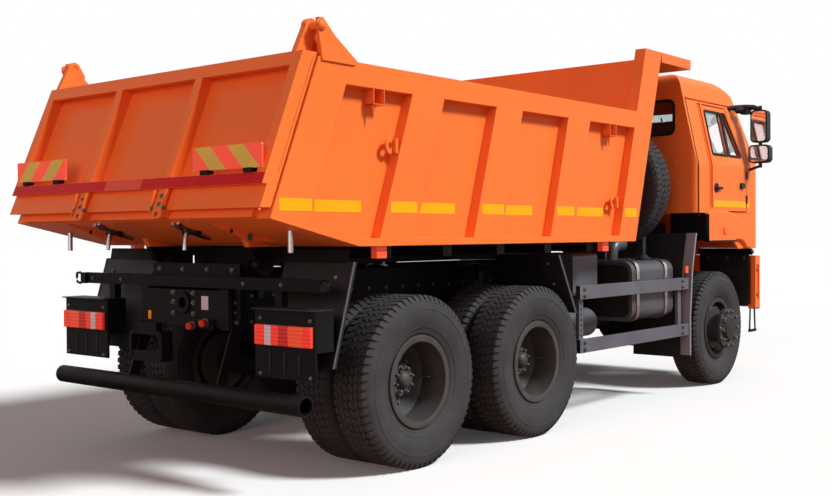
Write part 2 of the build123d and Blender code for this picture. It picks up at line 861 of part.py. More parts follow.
with BuildPart() as springs:
    for sign in SIDES.values():
        leaf_pack(
            (FRONT_AXLE - FRONT_SPRING_HALF, RAIL_LOW - FRONT_SPRING_WALL),
            (FRONT_AXLE, FRONT_SPRING_LOW),
            (FRONT_AXLE + FRONT_SPRING_HALF, RAIL_LOW - FRONT_SPRING_WALL),
            FRONT_SPRING_WALL,
            sign * SPRING_Y,
        )
        leaf_pack(
            (-BOGIE_OVERHANG, BOGIE_SPRING_LOW),
            (TRUNNION_STATION, BOGIE_SPRING_LOW + BOGIE_SPRING_RISE),
            (TANDEM_SPACING + BOGIE_OVERHANG, BOGIE_SPRING_LOW),
            BOGIE_SPRING_WALL,
            sign * SPRING_Y,
        )
keep(springs, "springs")

SUBFRAME_IN = RAIL_OUT - RAIL_FLANGE

with BuildPart() as bogie_trunnion:
    trunnion_half = SPRING_Y + SPRING_WIDTH
    cross_rod(TRUNNION_STATION, (-trunnion_half, trunnion_half), TRUNNION_Z, TRUNNION_R)
    for sign in SIDES.values():
        saddle_top = BOGIE_SPRING_LOW + BOGIE_SPRING_RISE - SADDLE_GAP
        saddle_y = about(sign * SPRING_Y, SPRING_WIDTH)
        block(about(TRUNNION_STATION, 2 * SADDLE_HALF), saddle_y, (TRUNNION_Z, saddle_top))
        hanger_out = SUBFRAME_IN - HANGER_PLATE
        side_sheet(
            [
                (TRUNNION_STATION - HANGER_HALF, TRUNNION_Z - HANGER_HALF),
                (TRUNNION_STATION + HANGER_HALF, TRUNNION_Z - HANGER_HALF),
                (TRUNNION_STATION + HANGER_TOP_HALF, RAIL_LOW),
                (TRUNNION_STATION - HANGER_TOP_HALF, RAIL_LOW),
            ],
            span(sign, hanger_out - HANGER_WALL, hanger_out),
        )
        plate_y = span(sign, hanger_out - HANGER_WALL, RAIL_OUT)
        block(about(TRUNNION_STATION, 2 * HANGER_TOP_HALF), plate_y, (RAIL_LOW - HANGER_PLATE, RAIL_LOW))
keep(bogie_trunnion, "bogie_trunnion")

# Chassis ladder
CROSS_TUBES = (-500, 300, TANDEM_SPACING + CROSS_TUBE_AHEAD, CAB_REAR - CROSS_TUBE_CAB_GAP)
CAB_PIVOT_STATION = CAB_FRONT - CAB_PIVOT_BACK

for side, sign in SIDES.items():
    with BuildPart() as frame_rail:
        length = (RAIL_REAR, RAIL_FRONT)
        flange = span(sign, SUBFRAME_IN, RAIL_OUT)
        block(length, span(sign, RAIL_OUT - RAIL_WALL, RAIL_OUT), (RAIL_LOW, RAIL_TOP))
        block(length, flange, (RAIL_LOW, RAIL_LOW + RAIL_WALL))
        block(length, flange, (RAIL_TOP - RAIL_WALL, RAIL_TOP))
    keep(frame_rail, f"frame_rail_{side}")

with BuildPart() as crossmembers:
    web = RAIL_OUT - RAIL_WALL
    rail_mid = (RAIL_LOW + RAIL_TOP) / 2
    for station in CROSS_TUBES:
        cross_rod(station, (-web, web), rail_mid, CROSS_TUBE_R)
    inside = (RAIL_LOW + RAIL_WALL, RAIL_TOP - RAIL_WALL)
    tail = (RAIL_REAR, RAIL_REAR + END_MEMBER_WALL)
    block(tail, (-web, web), inside)
    tow_z = rail_mid + TOW_HOLE_R
    rod((tail[0], 0, tow_z), (tail[1], 0, tow_z), TOW_HOLE_R, mode=Mode.SUBTRACT)
    block((RAIL_FRONT - END_MEMBER_WALL, RAIL_FRONT), (-web, web), inside)
    for sign in SIDES.values():
        post = (RAIL_FRONT - CAB_POST, CAB_PIVOT_STATION + CAB_TUBE_R)
        block(post, span(sign, SUBFRAME_IN, RAIL_OUT), (RAIL_TOP, CAB_PIVOT_Z - CAB_TUBE_R / 2))
    cross_rod(CAB_PIVOT_STATION, (-CAB_TUBE_HALF, CAB_TUBE_HALF), CAB_PIVOT_Z, CAB_TUBE_R)
keep(crossmembers, "crossmembers")

SUBFRAME_FRONT = BED_FRONT + SUBFRAME_BEAM
LIFT_BEAM = (LIFT_BEAM_STATION, LIFT_BEAM_STATION + SUBFRAME_BEAM)
with BuildPart() as subframe:
    layer = (RAIL_TOP, SUBFRAME_TOP)
    bay = (-SUBFRAME_IN, SUBFRAME_IN)
    for sign in SIDES.values():
        beam = span(sign, SUBFRAME_IN, RAIL_OUT)
        block((TIP_STATION, SUBFRAME_FRONT), beam, layer)
        crown = TIP_Z + TIP_PIN_R + TIP_CROWN
        side_sheet(
            [
                (TIP_STATION - TIP_LUG_R, RAIL_TOP),
                (TIP_STATION - TIP_LUG_R, TIP_Z),
                (TIP_STATION - TIP_PIN_R, crown),
                (TIP_STATION + TIP_PIN_R, crown),
                (TIP_STATION + 3 * TIP_LUG_R, SUBFRAME_TOP),
                (TIP_STATION + 3 * TIP_LUG_R, RAIL_TOP),
            ],
            beam,
        )
        pin_end = TIP_LUG_Y + TIP_LUG_WALL + TIP_PIN_PAST
        cross_rod(TIP_STATION, span(sign, RAIL_OUT, pin_end), TIP_Z, TIP_PIN_R)
        cheek = span(sign, LIFT_CHEEK_Y, LIFT_CHEEK_Y + LIFT_CHEEK_WALL)
        margin = 2 * LIFT_PIN_R
        side_sheet(
            [
                (LIFT_BASE_STATION - margin, LIFT_BASE_Z - margin),
                (LIFT_BASE_STATION + margin, LIFT_BASE_Z - margin),
                (LIFT_BEAM[1], RAIL_TOP),
                (LIFT_BEAM[1], SUBFRAME_TOP),
                (LIFT_BEAM[0], SUBFRAME_TOP),
                (LIFT_BASE_STATION - margin, LIFT_BASE_Z + margin),
            ],
            cheek,
        )
        cross_rod(LIFT_BASE_STATION, cheek, LIFT_BASE_Z, LIFT_PIN_R + PIN_GAP, mode=Mode.SUBTRACT)
    block(LIFT_BEAM, bay, layer)
    block((SUBFRAME_FRONT - SUBFRAME_BEAM, SUBFRAME_FRONT), bay, layer)
keep(subframe, "subframe")

# Power train
ENGINE = (FRONT_AXLE - ENGINE_BACK, FRONT_AXLE - ENGINE_BACK + ENGINE_LENGTH)
GEARBOX = (ENGINE[0] - GEARBOX_LENGTH, ENGINE[0])
TRANSFER = (TANDEM_SPACING + TRANSFER_AHEAD, TANDEM_SPACING + TRANSFER_AHEAD + TRANSFER_LENGTH)
DIFFERENTIAL_NEAR = DIFFERENTIAL_R - SHAFT_SINK
PINION_Z = TYRE_R + SHAFT_RISE
SHAFTS = (
    # rear end and front end, each a station and a height
    ((TRANSFER[1], SHAFT_TRANSFER_Z), (GEARBOX[0], SHAFT_GEARBOX_Z)),
    ((TANDEM_SPACING + DIFFERENTIAL_NEAR, PINION_Z), (TRANSFER[0], SHAFT_REAR_Z)),
    ((DIFFERENTIAL_NEAR, PINION_Z), (TANDEM_SPACING - DIFFERENTIAL_NEAR, PINION_Z)),
    ((TRANSFER[1], SHAFT_FRONT_Z), (FRONT_AXLE - DIFFERENTIAL_NEAR, PINION_Z)),
)
with BuildPart() as power_train:
    block(ENGINE, (-ENGINE_HALF, ENGINE_HALF), (ENGINE_LOW, ENGINE_TOP))
    block(GEARBOX, (-GEARBOX_HALF, GEARBOX_HALF), (GEARBOX_LOW, GEARBOX_TOP))
    block(TRANSFER, (-TRANSFER_HALF, TRANSFER_HALF), (TRANSFER_LOW, TRANSFER_TOP))
    for rear, front in SHAFTS:
        rod((rear[0], 0, rear[1]), (front[0], 0, front[1]), SHAFT_R)
    for neighbour in (front_axle, rear_axles):
        add(neighbour.part, mode=Mode.SUBTRACT)
keep(power_train, "power_train")


def bay(shares):
    """Stations of shares of the bay from the tandem's tyres to the cab's rear wall."""
    rear = TANDEM_SPACING + TYRE_R
    return tuple(rear + share * (CAB_REAR - rear) for share in shares)


# Fuel tank with its straps and filler elbow
TANK = bay(TANK_SPAN)
RAIL_FOOT = (RAIL_LOW + RAIL_FOOT_INSET, RAIL_TOP - RAIL_FOOT_INSET)
with BuildPart() as fuel_tank:
    cross_slab((-TANK_OUT, -TANK_IN), (TANK_LOW, TANK_TOP), TANK, TANK_CORNER_R)
    block((TANK[0] + TANK_FOOT_INSET, TANK[1] - TANK_FOOT_INSET), (-TANK_IN, -RAIL_OUT), RAIL_FOOT)
    for start in (TANK[0] + STRAP_REAR, TANK[1] - STRAP_FRONT):
        cross_slab(
            (-TANK_OUT - STRAP_WALL, -TANK_IN + STRAP_WALL),
            (TANK_LOW - STRAP_WALL, TANK_TOP + STRAP_WALL),
            (start, start + STRAP_WIDTH),
            TANK_CORNER_R + STRAP_WALL,
        )
    riser = TANK[0] + ELBOW_REAR
    riser_top = TANK_TOP + ELBOW_RISE
    rod((riser, -ELBOW_Y, TANK_TOP), (riser, -ELBOW_Y, riser_top), ELBOW_R)
    with BuildSketch(Plane(origin=(at(riser), -ELBOW_Y, riser_top))) as bend:
        Circle(ELBOW_R)
    bend_axis = Axis((at(riser + ELBOW_BEND_R), -ELBOW_Y, riser_top), (0, 1, 0))
    revolve(bend.sketch, axis=bend_axis, revolution_arc=90)
    mouth = (riser + ELBOW_BEND_R, -ELBOW_Y, riser_top + ELBOW_BEND_R)
    rod(mouth, (mouth[0] + ELBOW_RUN, mouth[1], mouth[2]), ELBOW_R)
keep(fuel_tank, "fuel_tank")

# Other chassis equipment
AIR_TANKS = bay(AIR_TANK_SPAN)
BATTERY = bay(BATTERY_SPAN)
with BuildPart() as battery_rack:
    for z in (RAIL_LOW - AIR_TANK_DROP, RAIL_TOP - AIR_TANK_DROP):
        rod((AIR_TANKS[0], AIR_TANK_Y, z), (AIR_TANKS[1], AIR_TANK_Y, z), AIR_TANK_R)
        foot = (AIR_TANKS[0] + AIR_TANK_FOOT_INSET, AIR_TANKS[1] - AIR_TANK_FOOT_INSET)
        block(foot, (RAIL_OUT, AIR_TANK_FOOT_OUT), about(z, 2 * AIR_TANK_FOOT))
    block(BATTERY, (BATTERY_IN, BATTERY_OUT), (BATTERY_LOW, BATTERY_TOP))
    block((BATTERY[0] + TANK_FOOT_INSET, BATTERY[1] - TANK_FOOT_INSET), (RAIL_OUT, BATTERY_IN), RAIL_FOOT)
keep(battery_rack, "battery_rack")

OIL_TANK = bay(OIL_TANK_SPAN)
with BuildPart() as hydraulic_tank:
    cross_slab((-OIL_TANK_OUT, -OIL_TANK_IN), (OIL_TANK_LOW, OIL_TANK_TOP), OIL_TANK, OIL_TANK_CORNER_R)
    foot = (OIL_TANK[0] + TANK_FOOT_INSET, OIL_TANK[1] - TANK_FOOT_INSET)
    foot_z = (OIL_TANK_LOW + OIL_TANK_CORNER_R, RAIL_TOP - OIL_TANK_FOOT_DROP)
    block(foot, (-OIL_TANK_IN, -RAIL_OUT), foot_z)
keep(hydraulic_tank, "hydraulic_tank")

SILENCER = bay(SILENCER_SPAN)
with BuildPart() as silencer:
    front_end = (SILENCER[1], -SILENCER_Y, SILENCER_Z)
    rear_end = (SILENCER[0], -SILENCER_Y, SILENCER_Z)
    outlet = (SILENCER[0] - TAILPIPE_LENGTH, -SILENCER_Y, SILENCER_Z)
    rod(rear_end, front_end, SILENCER_R)
    rod(rear_end, outlet, TAILPIPE_R, bore=TAILPIPE_R - TAILPIPE_WALL)
    shelf = (SILENCER[0] - SILENCER_SHELF_PAST, SILENCER[1] - SILENCER_SHELF_PAST)
    shelf_z = (RAIL_LOW, RAIL_LOW + SILENCER_SHELF)
    block(shelf, (-RAIL_OUT - SILENCER_SHELF_OUT, -RAIL_OUT), shelf_z)
    strap = about((SILENCER[0] + SILENCER[1]) / 2, SILENCER_STRAP)
    strap_low = SILENCER_Z + SILENCER_R - SILENCER_SHELF
    block(strap, (-SILENCER_Y, -RAIL_OUT - SILENCER_STRAP_IN), (strap_low, shelf_z[1]))
keep(silencer, "silencer")

GUARD = (TANDEM_SPACING + TYRE_R + GUARD_TYRE_GAP, CAB_REAR - GUARD_CAB_GAP)
GUARD_POSTS = (
    GUARD[0] + GUARD_POST_INSET,
    GUARD[1] - GUARD_FRONT_POST_BACK,
)
with BuildPart() as side_guards:
    for sign in SIDES.values():
        back = GUARD_Y - GUARD_WALL
        for low in (GUARD_UPPER, GUARD_LOWER):
            block(GUARD, span(sign, back, GUARD_Y), (low, low + GUARD_RAIL))
        for station in GUARD_POSTS:
            post_z = (GUARD_LOWER, GUARD_UPPER + GUARD_RAIL)
            block((station, station + GUARD_POST_WIDTH), span(sign, back - GUARD_POST_WALL, back), post_z)
            arm_z = (GUARD_ARM_LOW, GUARD_ARM_LOW + GUARD_ARM_HEIGHT)
            arm = (station + GUARD_POST_WIDTH - GUARD_ARM_WIDTH, station + GUARD_POST_WIDTH)
            block(arm, span(sign, RAIL_OUT, back - GUARD_POST_WALL), arm_z)
keep(side_guards, "side_guards")

# Rear end
with BuildPart() as rear_crossbeam:
    beam = about(CROSSBEAM_STATION, CROSSBEAM_DEPTH)
    beam_low = RAIL_TOP + CROSSBEAM_GAP
    block(beam, (-CROSSBEAM_HALF, CROSSBEAM_HALF), (beam_low, beam_low + CROSSBEAM_HEIGHT))
    for sign in SIDES.values():
        plate = span(sign, RAIL_OUT + PIPE_HANGER_WALL, RAIL_OUT + PIPE_HANGER_WALL + CROSSBEAM_PLATE)
        block(beam, plate, (RAIL_TOP - CROSSBEAM_PLATE_DROP, beam_low))
        box_y = span(sign, LAMP_BOX_IN, LAMP_BOX_OUT)
        box = (LAMP_BOX_REAR, LAMP_BOX_REAR + LAMP_BOX_DEPTH)
        block(box, box_y, (LAMP_BOX_LOW, LAMP_BOX_TOP))
        flap = (LAMP_BOX_REAR, LAMP_BOX_REAR + LAMP_FLAP_WALL)
        block(flap, box_y, (LAMP_FLAP_LOW, LAMP_BOX_LOW))
        strut_in = LAMP_BOX_IN + LAMP_STRUT
        block(beam, span(sign, strut_in, strut_in + LAMP_STRUT), (LAMP_BOX_TOP, beam_low))
keep(rear_crossbeam, "rear_crossbeam")

with BuildPart() as tail_lamps:
    for sign in SIDES.values():
        lens = (LAMP_BOX_REAR - LAMP_WALL, LAMP_BOX_REAR)
        block(lens, span(sign, LAMP_IN, LAMP_OUT), (LAMP_LOW, LAMP_TOP))
keep(tail_lamps, "tail_lamps")

with BuildPart() as rear_bumper:
    pipe_y = (-PIPE_HALF, PIPE_HALF)
    cross_rod(PIPE_STATION, pipe_y, PIPE_Z, PIPE_R)
    hanger_rear = RAIL_REAR + WELD_SINK
    for sign in SIDES.values():
        side_sheet(
            [
                (PIPE_STATION - PIPE_R / 3, PIPE_Z),
                (PIPE_STATION + PIPE_R, PIPE_Z),
                (hanger_rear + PIPE_HANGER_WIDTH, RAIL_LOW),
                (hanger_rear + PIPE_HANGER_WIDTH, PIPE_HANGER_TOP),
                (hanger_rear, PIPE_HANGER_TOP),
                (hanger_rear, RAIL_LOW),
            ],
            span(sign, RAIL_OUT, RAIL_OUT + PIPE_HANGER_WALL),
        )
    cross_rod(PIPE_STATION, pipe_y, PIPE_Z, PIPE_R - PIPE_WALL, mode=Mode.SUBTRACT)
keep(rear_bumper, "rear_bumper")


# Mudguards
def leaning_flap(top, low, y):
    """A flap between two (station, z) points of its rear face."""
    side_sheet([top, (top[0] + FLAP_WALL, top[1]), (low[0] + FLAP_WALL, low[1]), low], y)


CAB_FLAP = (
    # station behind the cab's rear wall, height
    (20, 1455),
    (104, 1123),
    (147, 702),
    (147, CAB_FLAP_LOW),
)
with BuildPart() as mudguards:
    flap_stations = {
        REAR_BRACKET_RISE: REAR_FLAP_TOP_STATION - REAR_BRACKET_BACK,
        FORE_BRACKET_RISE: TANDEM_SPACING + FORE_FLAP_TOP_AHEAD + FORE_BRACKET_AHEAD,
    }
    for sign in SIDES.values():
        wide = span(sign, FLAP_IN, FLAP_OUT)
        leaning_flap((REAR_FLAP_TOP_STATION, FLAP_TOP), (REAR_FLAP_LOW_STATION, REAR_FLAP_LOW), wide)
        fore_top = (TANDEM_SPACING + FORE_FLAP_TOP_AHEAD, FLAP_TOP)
        leaning_flap(fore_top, (TANDEM_SPACING + FORE_FLAP_LOW_AHEAD, FORE_FLAP_LOW), wide)
        for rise, station in flap_stations.items():
            bracket = (station, station + FLAP_BRACKET)
            bracket_top = RAIL_TOP + rise + FLAP_BRACKET_HEIGHT
            block(bracket, span(sign, RAIL_OUT, FLAP_BRACKET_Y), (RAIL_TOP + rise, bracket_top))
            foot = span(sign, RAIL_OUT, RAIL_OUT + FLAP_BRACKET_FOOT)
            block(bracket, foot, (RAIL_TOP - FLAP_BRACKET_DROP, bracket_top))
        rear_face = [(CAB_REAR - back, z) for back, z in CAB_FLAP]
        front_face = [(station + CAB_FLAP_WALL, z) for station, z in reversed(rear_face)]
        side_sheet(rear_face + front_face, span(sign, FLAP_IN, FLAP_OUT - WELD_SINK))
        stay_rear = CAB_REAR - CAB_FLAP[1][0]
        stay = (stay_rear, stay_rear + FLAP_BRACKET)
        stay_z = (CAB_FLAP_BRACKET_LOW, CAB_FLAP_BRACKET_LOW + FLAP_BRACKET_HEIGHT)
        block(stay, span(sign, RAIL_OUT, FLAP_BRACKET_Y), stay_z)
keep(mudguards, "mudguards")

# Spare wheel behind the cab
SPARE_STATION = CAB_REAR - SPARE_CAB_GAP
SPARE_PLANE = Plane(origin=(at(SPARE_STATION), SPARE_Y, SPARE_Z), x_dir=(1, 0, 0), z_dir=(0, -1, 0))
with BuildPart() as spare_tyre:
    tyre(SPARE_PLANE)
keep(spare_tyre, "spare_tyre")

CARRIER = (SPARE_STATION + CARRIER_AHEAD, SPARE_STATION + CARRIER_AHEAD + CARRIER_DEPTH)
with BuildPart() as spare_carrier:
    with BuildSketch(SPARE_PLANE) as section:
        for outline in (*barrel_outlines(0), disc_outline(0, DISC_RUN, 1)):
            Polygon(*outline)
        Polygon(*ring(DISC_RUN, CARRIER_AHEAD, 0, HUB_R))
    revolve(section.sketch, axis=Axis(SPARE_PLANE.origin, SPARE_PLANE.x_dir))
    for y in (SPARE_Y - CARRIER_HALF, SPARE_Y + CARRIER_HALF):
        block(CARRIER, about(y, CARRIER_BAR), (RAIL_TOP, CARRIER_TOP))
    carrier_y = about(SPARE_Y, 2 * CARRIER_HALF + CARRIER_BAR)
    for z in (RAIL_TOP + CARRIER_DEPTH / 2, SPARE_Z, CARRIER_TOP - CARRIER_DEPTH / 2):
        block(CARRIER, carrier_y, about(z, CARRIER_DEPTH))
    block(CARRIER, (-RAIL_OUT, RAIL_OUT), (RAIL_TOP, RAIL_TOP + CARRIER_DEPTH))
keep(spare_carrier, "spare_carrier")

# Tipping bed
RIBS = (
    # rear edge at the bottom rail, rear edge at the top rail
    (-425, -108),
    (501, 775),
    (1433, 1688),
)
LIP_TOP = LIP_LOW + LOW_RAIL_HEIGHT
LOW_RAIL_TOP = FLOOR_LOW + LOW_RAIL_HEIGHT
FLOOR_TOP = FLOOR_LOW + FLOOR_WALL
HEAD_FOOT = FLOOR_TOP - HEAD_SINK
RAIL_UNDER = SIDE_TOP - TOP_RAIL_HEIGHT
LIP_SLOPE = (LIP_LOW - FLOOR_LOW) / (KINK_STATION - LIP_STATION)
UNDERSIDE = [(LIP_STATION, LIP_LOW), (KINK_STATION, FLOOR_LOW), (BED_FRONT, FLOOR_LOW)]

for side, sign in SIDES.items():
    proud = span(sign, PANEL_IN, BED_HALF)
    side_top = [(front_edge(SIDE_TOP), SIDE_TOP), (rear_edge(SIDE_TOP), SIDE_TOP)]
    with BuildPart() as bed_side:
        side_sheet(UNDERSIDE + side_top, span(sign, PANEL_IN, PANEL_OUT))
        low_rail = [
            (front_edge(LOW_RAIL_TOP), LOW_RAIL_TOP),
            (KINK_STATION, LOW_RAIL_TOP),
            (rear_edge(LIP_TOP), LIP_TOP),
        ]
        side_sheet(UNDERSIDE + low_rail, proud)
        top_rail = [(rear_edge(RAIL_UNDER), RAIL_UNDER), (front_edge(RAIL_UNDER), RAIL_UNDER)]
        side_sheet(top_rail + side_top, proud)
        side_sheet(
            [
                (LIP_STATION, LIP_LOW),
                (rear_edge(SIDE_TOP), SIDE_TOP),
                (rear_edge(SIDE_TOP) + REAR_POST_WIDTH, SIDE_TOP),
                (LIP_STATION + REAR_POST_WIDTH, LIP_LOW - REAR_POST_WIDTH * LIP_SLOPE),
            ],
            proud,
        )
        side_sheet(
            [
                (BED_FRONT - FRONT_POST_WIDTH, FLOOR_LOW),
                (BED_FRONT, FLOOR_LOW),
                (front_edge(VISOR_TOP), VISOR_TOP),
                (front_edge(VISOR_TOP) - FRONT_POST_WIDTH, VISOR_TOP),
            ],
            proud,
        )
        for bottom, top in RIBS:
            side_sheet(
                [
                    (bottom, LOW_RAIL_TOP - RIB_SINK),
                    (bottom + RIB_WIDTH, LOW_RAIL_TOP - RIB_SINK),
                    (top + RIB_WIDTH, RAIL_UNDER + RIB_SINK),
                    (top, RAIL_UNDER + RIB_SINK),
                ],
                proud,
            )
        peak = (GATE_PIVOT_STATION - BRACKET_PEAK_BACK, GATE_PIVOT_Z + BRACKET_PEAK)
        foot = rear_edge(SIDE_TOP) + BRACKET_INSET
        side_sheet(
            [
                (foot, SIDE_TOP - BRACKET_SINK),
                (foot + BRACKET_WIDTH, SIDE_TOP - BRACKET_SINK),
                (peak[0] + BRACKET_PEAK_WIDTH, peak[1]),
                peak,
            ],
            span(sign, BED_HALF - BRACKET_WALL, BED_HALF),
        )
        cross_rod(GATE_PIVOT_STATION, span(sign, GATE_ARM_Y, BED_HALF), GATE_PIVOT_Z, GATE_PIN_R)
    keep(bed_side, f"bed_side_{side}")


def head_strip(rear, front, y):
    """A leaning strip of the headboard between two depths behind the front edge."""
    side_sheet(
        [
            (front_edge(HEAD_FOOT) - rear, HEAD_FOOT),
            (front_edge(HEAD_FOOT) - front, HEAD_FOOT),
            (front_edge(HEAD_TOP) - front, HEAD_TOP),
            (front_edge(HEAD_TOP) - rear, HEAD_TOP),
        ],
        y,
    )


with BuildPart() as bed_headboard:
    inside = (-PANEL_IN, PANEL_IN)
    across = (-BED_HALF, BED_HALF)
    roof_z = (HEAD_TOP, HEAD_TOP + VISOR_WALL)
    visor_rear = front_edge(VISOR_TOP) + PIN_GAP
    head_strip(HEAD_DEPTH, HEAD_DEPTH - HEAD_WALL, inside)
    for place in (-1.5, -0.5, 0.5, 1.5):
        head_strip(HEAD_DEPTH, 0, about(place * HEAD_POST_PITCH, HEAD_POST_WIDTH))
    block((front_edge(HEAD_TOP) - HEAD_DEPTH, visor_rear), inside, roof_z)
    block((visor_rear, VISOR_FRONT), across, roof_z)
    for sign in SIDES.values():
        flange = span(sign, BED_HALF - VISOR_WALL, BED_HALF)
        block((visor_rear, VISOR_FRONT), flange, (HEAD_TOP, VISOR_TOP))
    block((VISOR_FRONT - VISOR_WALL, VISOR_FRONT), across, (HEAD_TOP, VISOR_TOP))
keep(bed_headboard, "bed_headboard")

with BuildPart() as bed_floor:
    floor_top = [
        (front_edge(HEAD_FOOT), HEAD_FOOT),
        (front_edge(HEAD_FOOT) - HEAD_DEPTH, HEAD_FOOT),
        (front_edge(FLOOR_TOP) - HEAD_DEPTH, FLOOR_TOP),
        (KINK_STATION, FLOOR_TOP),
        (rear_edge(LIP_TOP), LIP_TOP),
    ]
    side_sheet(UNDERSIDE + floor_top, (-PANEL_IN, PANEL_IN))
    weld = FLOOR_LOW + WELD_SINK
    for sign in SIDES.values():
        beam_y = span(sign, BED_BEAM_Y - BED_BEAM_WIDTH / 2, BED_BEAM_Y + BED_BEAM_WIDTH / 2)
        block((TIP_STATION + 3 * TIP_LUG_R, BED_FRONT - BED_BEAM_SHORT), beam_y, (BED_BEAM_LOW, weld))
        lug = span(sign, TIP_LUG_Y, TIP_LUG_Y + TIP_LUG_WALL)
        lug_rear = TIP_STATION - TIP_LUG_REAR
        side_sheet(
            [
                (TIP_STATION - TIP_LUG_NECK, TIP_Z),
                (lug_rear, FLOOR_LOW + WELD_SINK + (KINK_STATION - lug_rear) * LIP_SLOPE),
                (TIP_STATION + TIP_LUG_FRONT, weld),
                (TIP_STATION + TIP_LUG_NECK, TIP_Z),
            ],
            lug,
        )
        cross_rod(TIP_STATION, lug, TIP_Z, TIP_LUG_R)
        cross_rod(TIP_STATION, lug, TIP_Z, TIP_PIN_R + PIN_GAP, mode=Mode.SUBTRACT)
        ear_low = LIFT_EYE_Z - LIFT_EAR_HALF
        ear_top = LIFT_TRAVERSE_LOW + WELD_SINK
        side_sheet(
            [
                (LIFT_EYE_STATION - LIFT_EAR_HALF, ear_low),
                (LIFT_EYE_STATION + LIFT_EAR_HALF, ear_low),
                (LIFT_EYE_STATION + 2 * LIFT_EAR_HALF, ear_top),
                (LIFT_EYE_STATION - 2 * LIFT_EAR_HALF, ear_top),
            ],
            span(sign, 2 * LIFT_EYE_R, 2 * LIFT_EYE_R + LIFT_EAR_WALL),
        )
    traverse = about(LIFT_EYE_STATION, 6 * LIFT_EAR_HALF)
    block(traverse, (-BED_BEAM_Y, BED_BEAM_Y), (LIFT_TRAVERSE_LOW, weld))
    rib_pitch = (BED_FRONT - CROSS_RIB_FRONT_BACK - CROSS_RIB_REAR) / (CROSS_RIBS - 1)
    for rib in range(CROSS_RIBS):
        station = CROSS_RIB_REAR + rib * rib_pitch
        for sign in SIDES.values():
            rib_y = span(sign, BED_BEAM_Y, PANEL_IN)
            block((station, station + CROSS_RIB_WIDTH), rib_y, (CROSS_RIB_LOW, weld))
keep(bed_floor, "bed_floor")

with BuildPart() as side_markers:
    for sign in SIDES.values():
        for station in (MARKER_REAR, BED_FRONT - MARKER_FRONT_BACK):
            marker_y = span(sign, MARKER_OUT - MARKER_WIDTH, MARKER_OUT)
            block(about(station, MARKER_LENGTH), marker_y, (FLOOR_LOW - MARKER_HEIGHT, FLOOR_LOW))
keep(side_markers, "side_markers")


# Tailgate
def gate_sheet(low, high, near, far, y):
    """A slab parallel to the bed's rear edge; near and far are its depths behind that edge."""
    side_sheet(
        [
            (rear_edge(low) - near, low),
            (rear_edge(high) - near, high),
            (rear_edge(high) - far, high),
            (rear_edge(low) - far, low),
        ],
        y,
    )


GATE_FACE = GATE_GAP + GATE_WALL
GATE_BACK = GATE_GAP + GATE_DEPTH
GATE_LOWER_BACK = GATE_GAP + GATE_LOWER_DEPTH
with BuildPart() as tailgate:
    across = (-GATE_HALF, GATE_HALF)
    gate_sheet(GATE_LOW, GATE_TOP, GATE_GAP, GATE_FACE, across)
    gate_sheet(GATE_TOP - GATE_TOP_BEAM, GATE_TOP, GATE_GAP, GATE_BACK, across)
    gate_sheet(GATE_LEDGE, GATE_LEDGE + GATE_BEAM, GATE_GAP, GATE_BACK, across)
    gate_sheet(GATE_LOW, GATE_LEDGE, GATE_GAP, GATE_LOWER_BACK, across)
    for sign in SIDES.values():
        rib_y = about(sign * GATE_RIB_Y, GATE_RIB_WIDTH)
        gate_sheet(GATE_LEDGE, GATE_TOP, GATE_GAP, GATE_BACK, rib_y)
        side_y = span(sign, GATE_HALF - GATE_SIDE_WIDTH, GATE_HALF)
        gate_sheet(GATE_LEDGE, GATE_TOP, GATE_GAP, GATE_BACK, side_y)
        lock_y = about(sign * GATE_RIB_Y, LOCK_WIDTH)
        gate_sheet(LOCK_LOW, GATE_LEDGE, GATE_FACE, LOCK_REACH, lock_y)
        lock_z = (LOCK_LOW + GATE_LOW) / 2
        lock_rear = (rear_edge(lock_z) - 2 * LOCK_REACH, sign * GATE_RIB_Y, lock_z)
        lock_front = (rear_edge(lock_z), sign * GATE_RIB_Y, lock_z)
        rod(lock_rear, lock_front, LOCK_HOLE_R, mode=Mode.SUBTRACT)
        arm = about(sign * GATE_ARM_Y, GATE_ARM_WALL)
        arm_foot = GATE_TOP - GATE_TOP_BEAM / 4
        side_sheet(
            [
                (rear_edge(arm_foot) - GATE_BACK, arm_foot),
                (rear_edge(arm_foot) - GATE_GAP, arm_foot),
                (GATE_PIVOT_STATION + GATE_ARM_R, GATE_PIVOT_Z),
                (GATE_PIVOT_STATION - GATE_ARM_R, GATE_PIVOT_Z),
            ],
            arm,
        )
        cross_rod(GATE_PIVOT_STATION, arm, GATE_PIVOT_Z, GATE_ARM_R)
        cross_rod(GATE_PIVOT_STATION, arm, GATE_PIVOT_Z, GATE_PIN_R + PIN_GAP, mode=Mode.SUBTRACT)
keep(tailgate, "tailgate")

with BuildPart() as marker_boards:
    for sign in SIDES.values():
        board_y = span(sign, BOARD_IN, BOARD_OUT)
        gate_sheet(BOARD_LOW, BOARD_TOP, GATE_BACK, GATE_BACK + BOARD_WALL, board_y)
keep(marker_boards, "marker_boards")

# Lift cylinder
lift_run = Vector(LIFT_EYE_STATION - LIFT_BASE_STATION, 0, LIFT_EYE_Z - LIFT_BASE_Z)
lift_way = lift_run.normalized()
CLOSED_LENGTH = lift_run.length
BARREL_TOP = CLOSED_LENGTH - LIFT_HEAD - LIFT_STAGES * LIFT_STEP_UP
BARREL_FLOOR = LIFT_END_WALL - LIFT_FOOT


def along(distance):
    """Point on the closed cylinder's axis, as (station, y, z)."""
    return (LIFT_BASE_STATION + lift_way.X * distance, 0, LIFT_BASE_Z + lift_way.Z * distance)


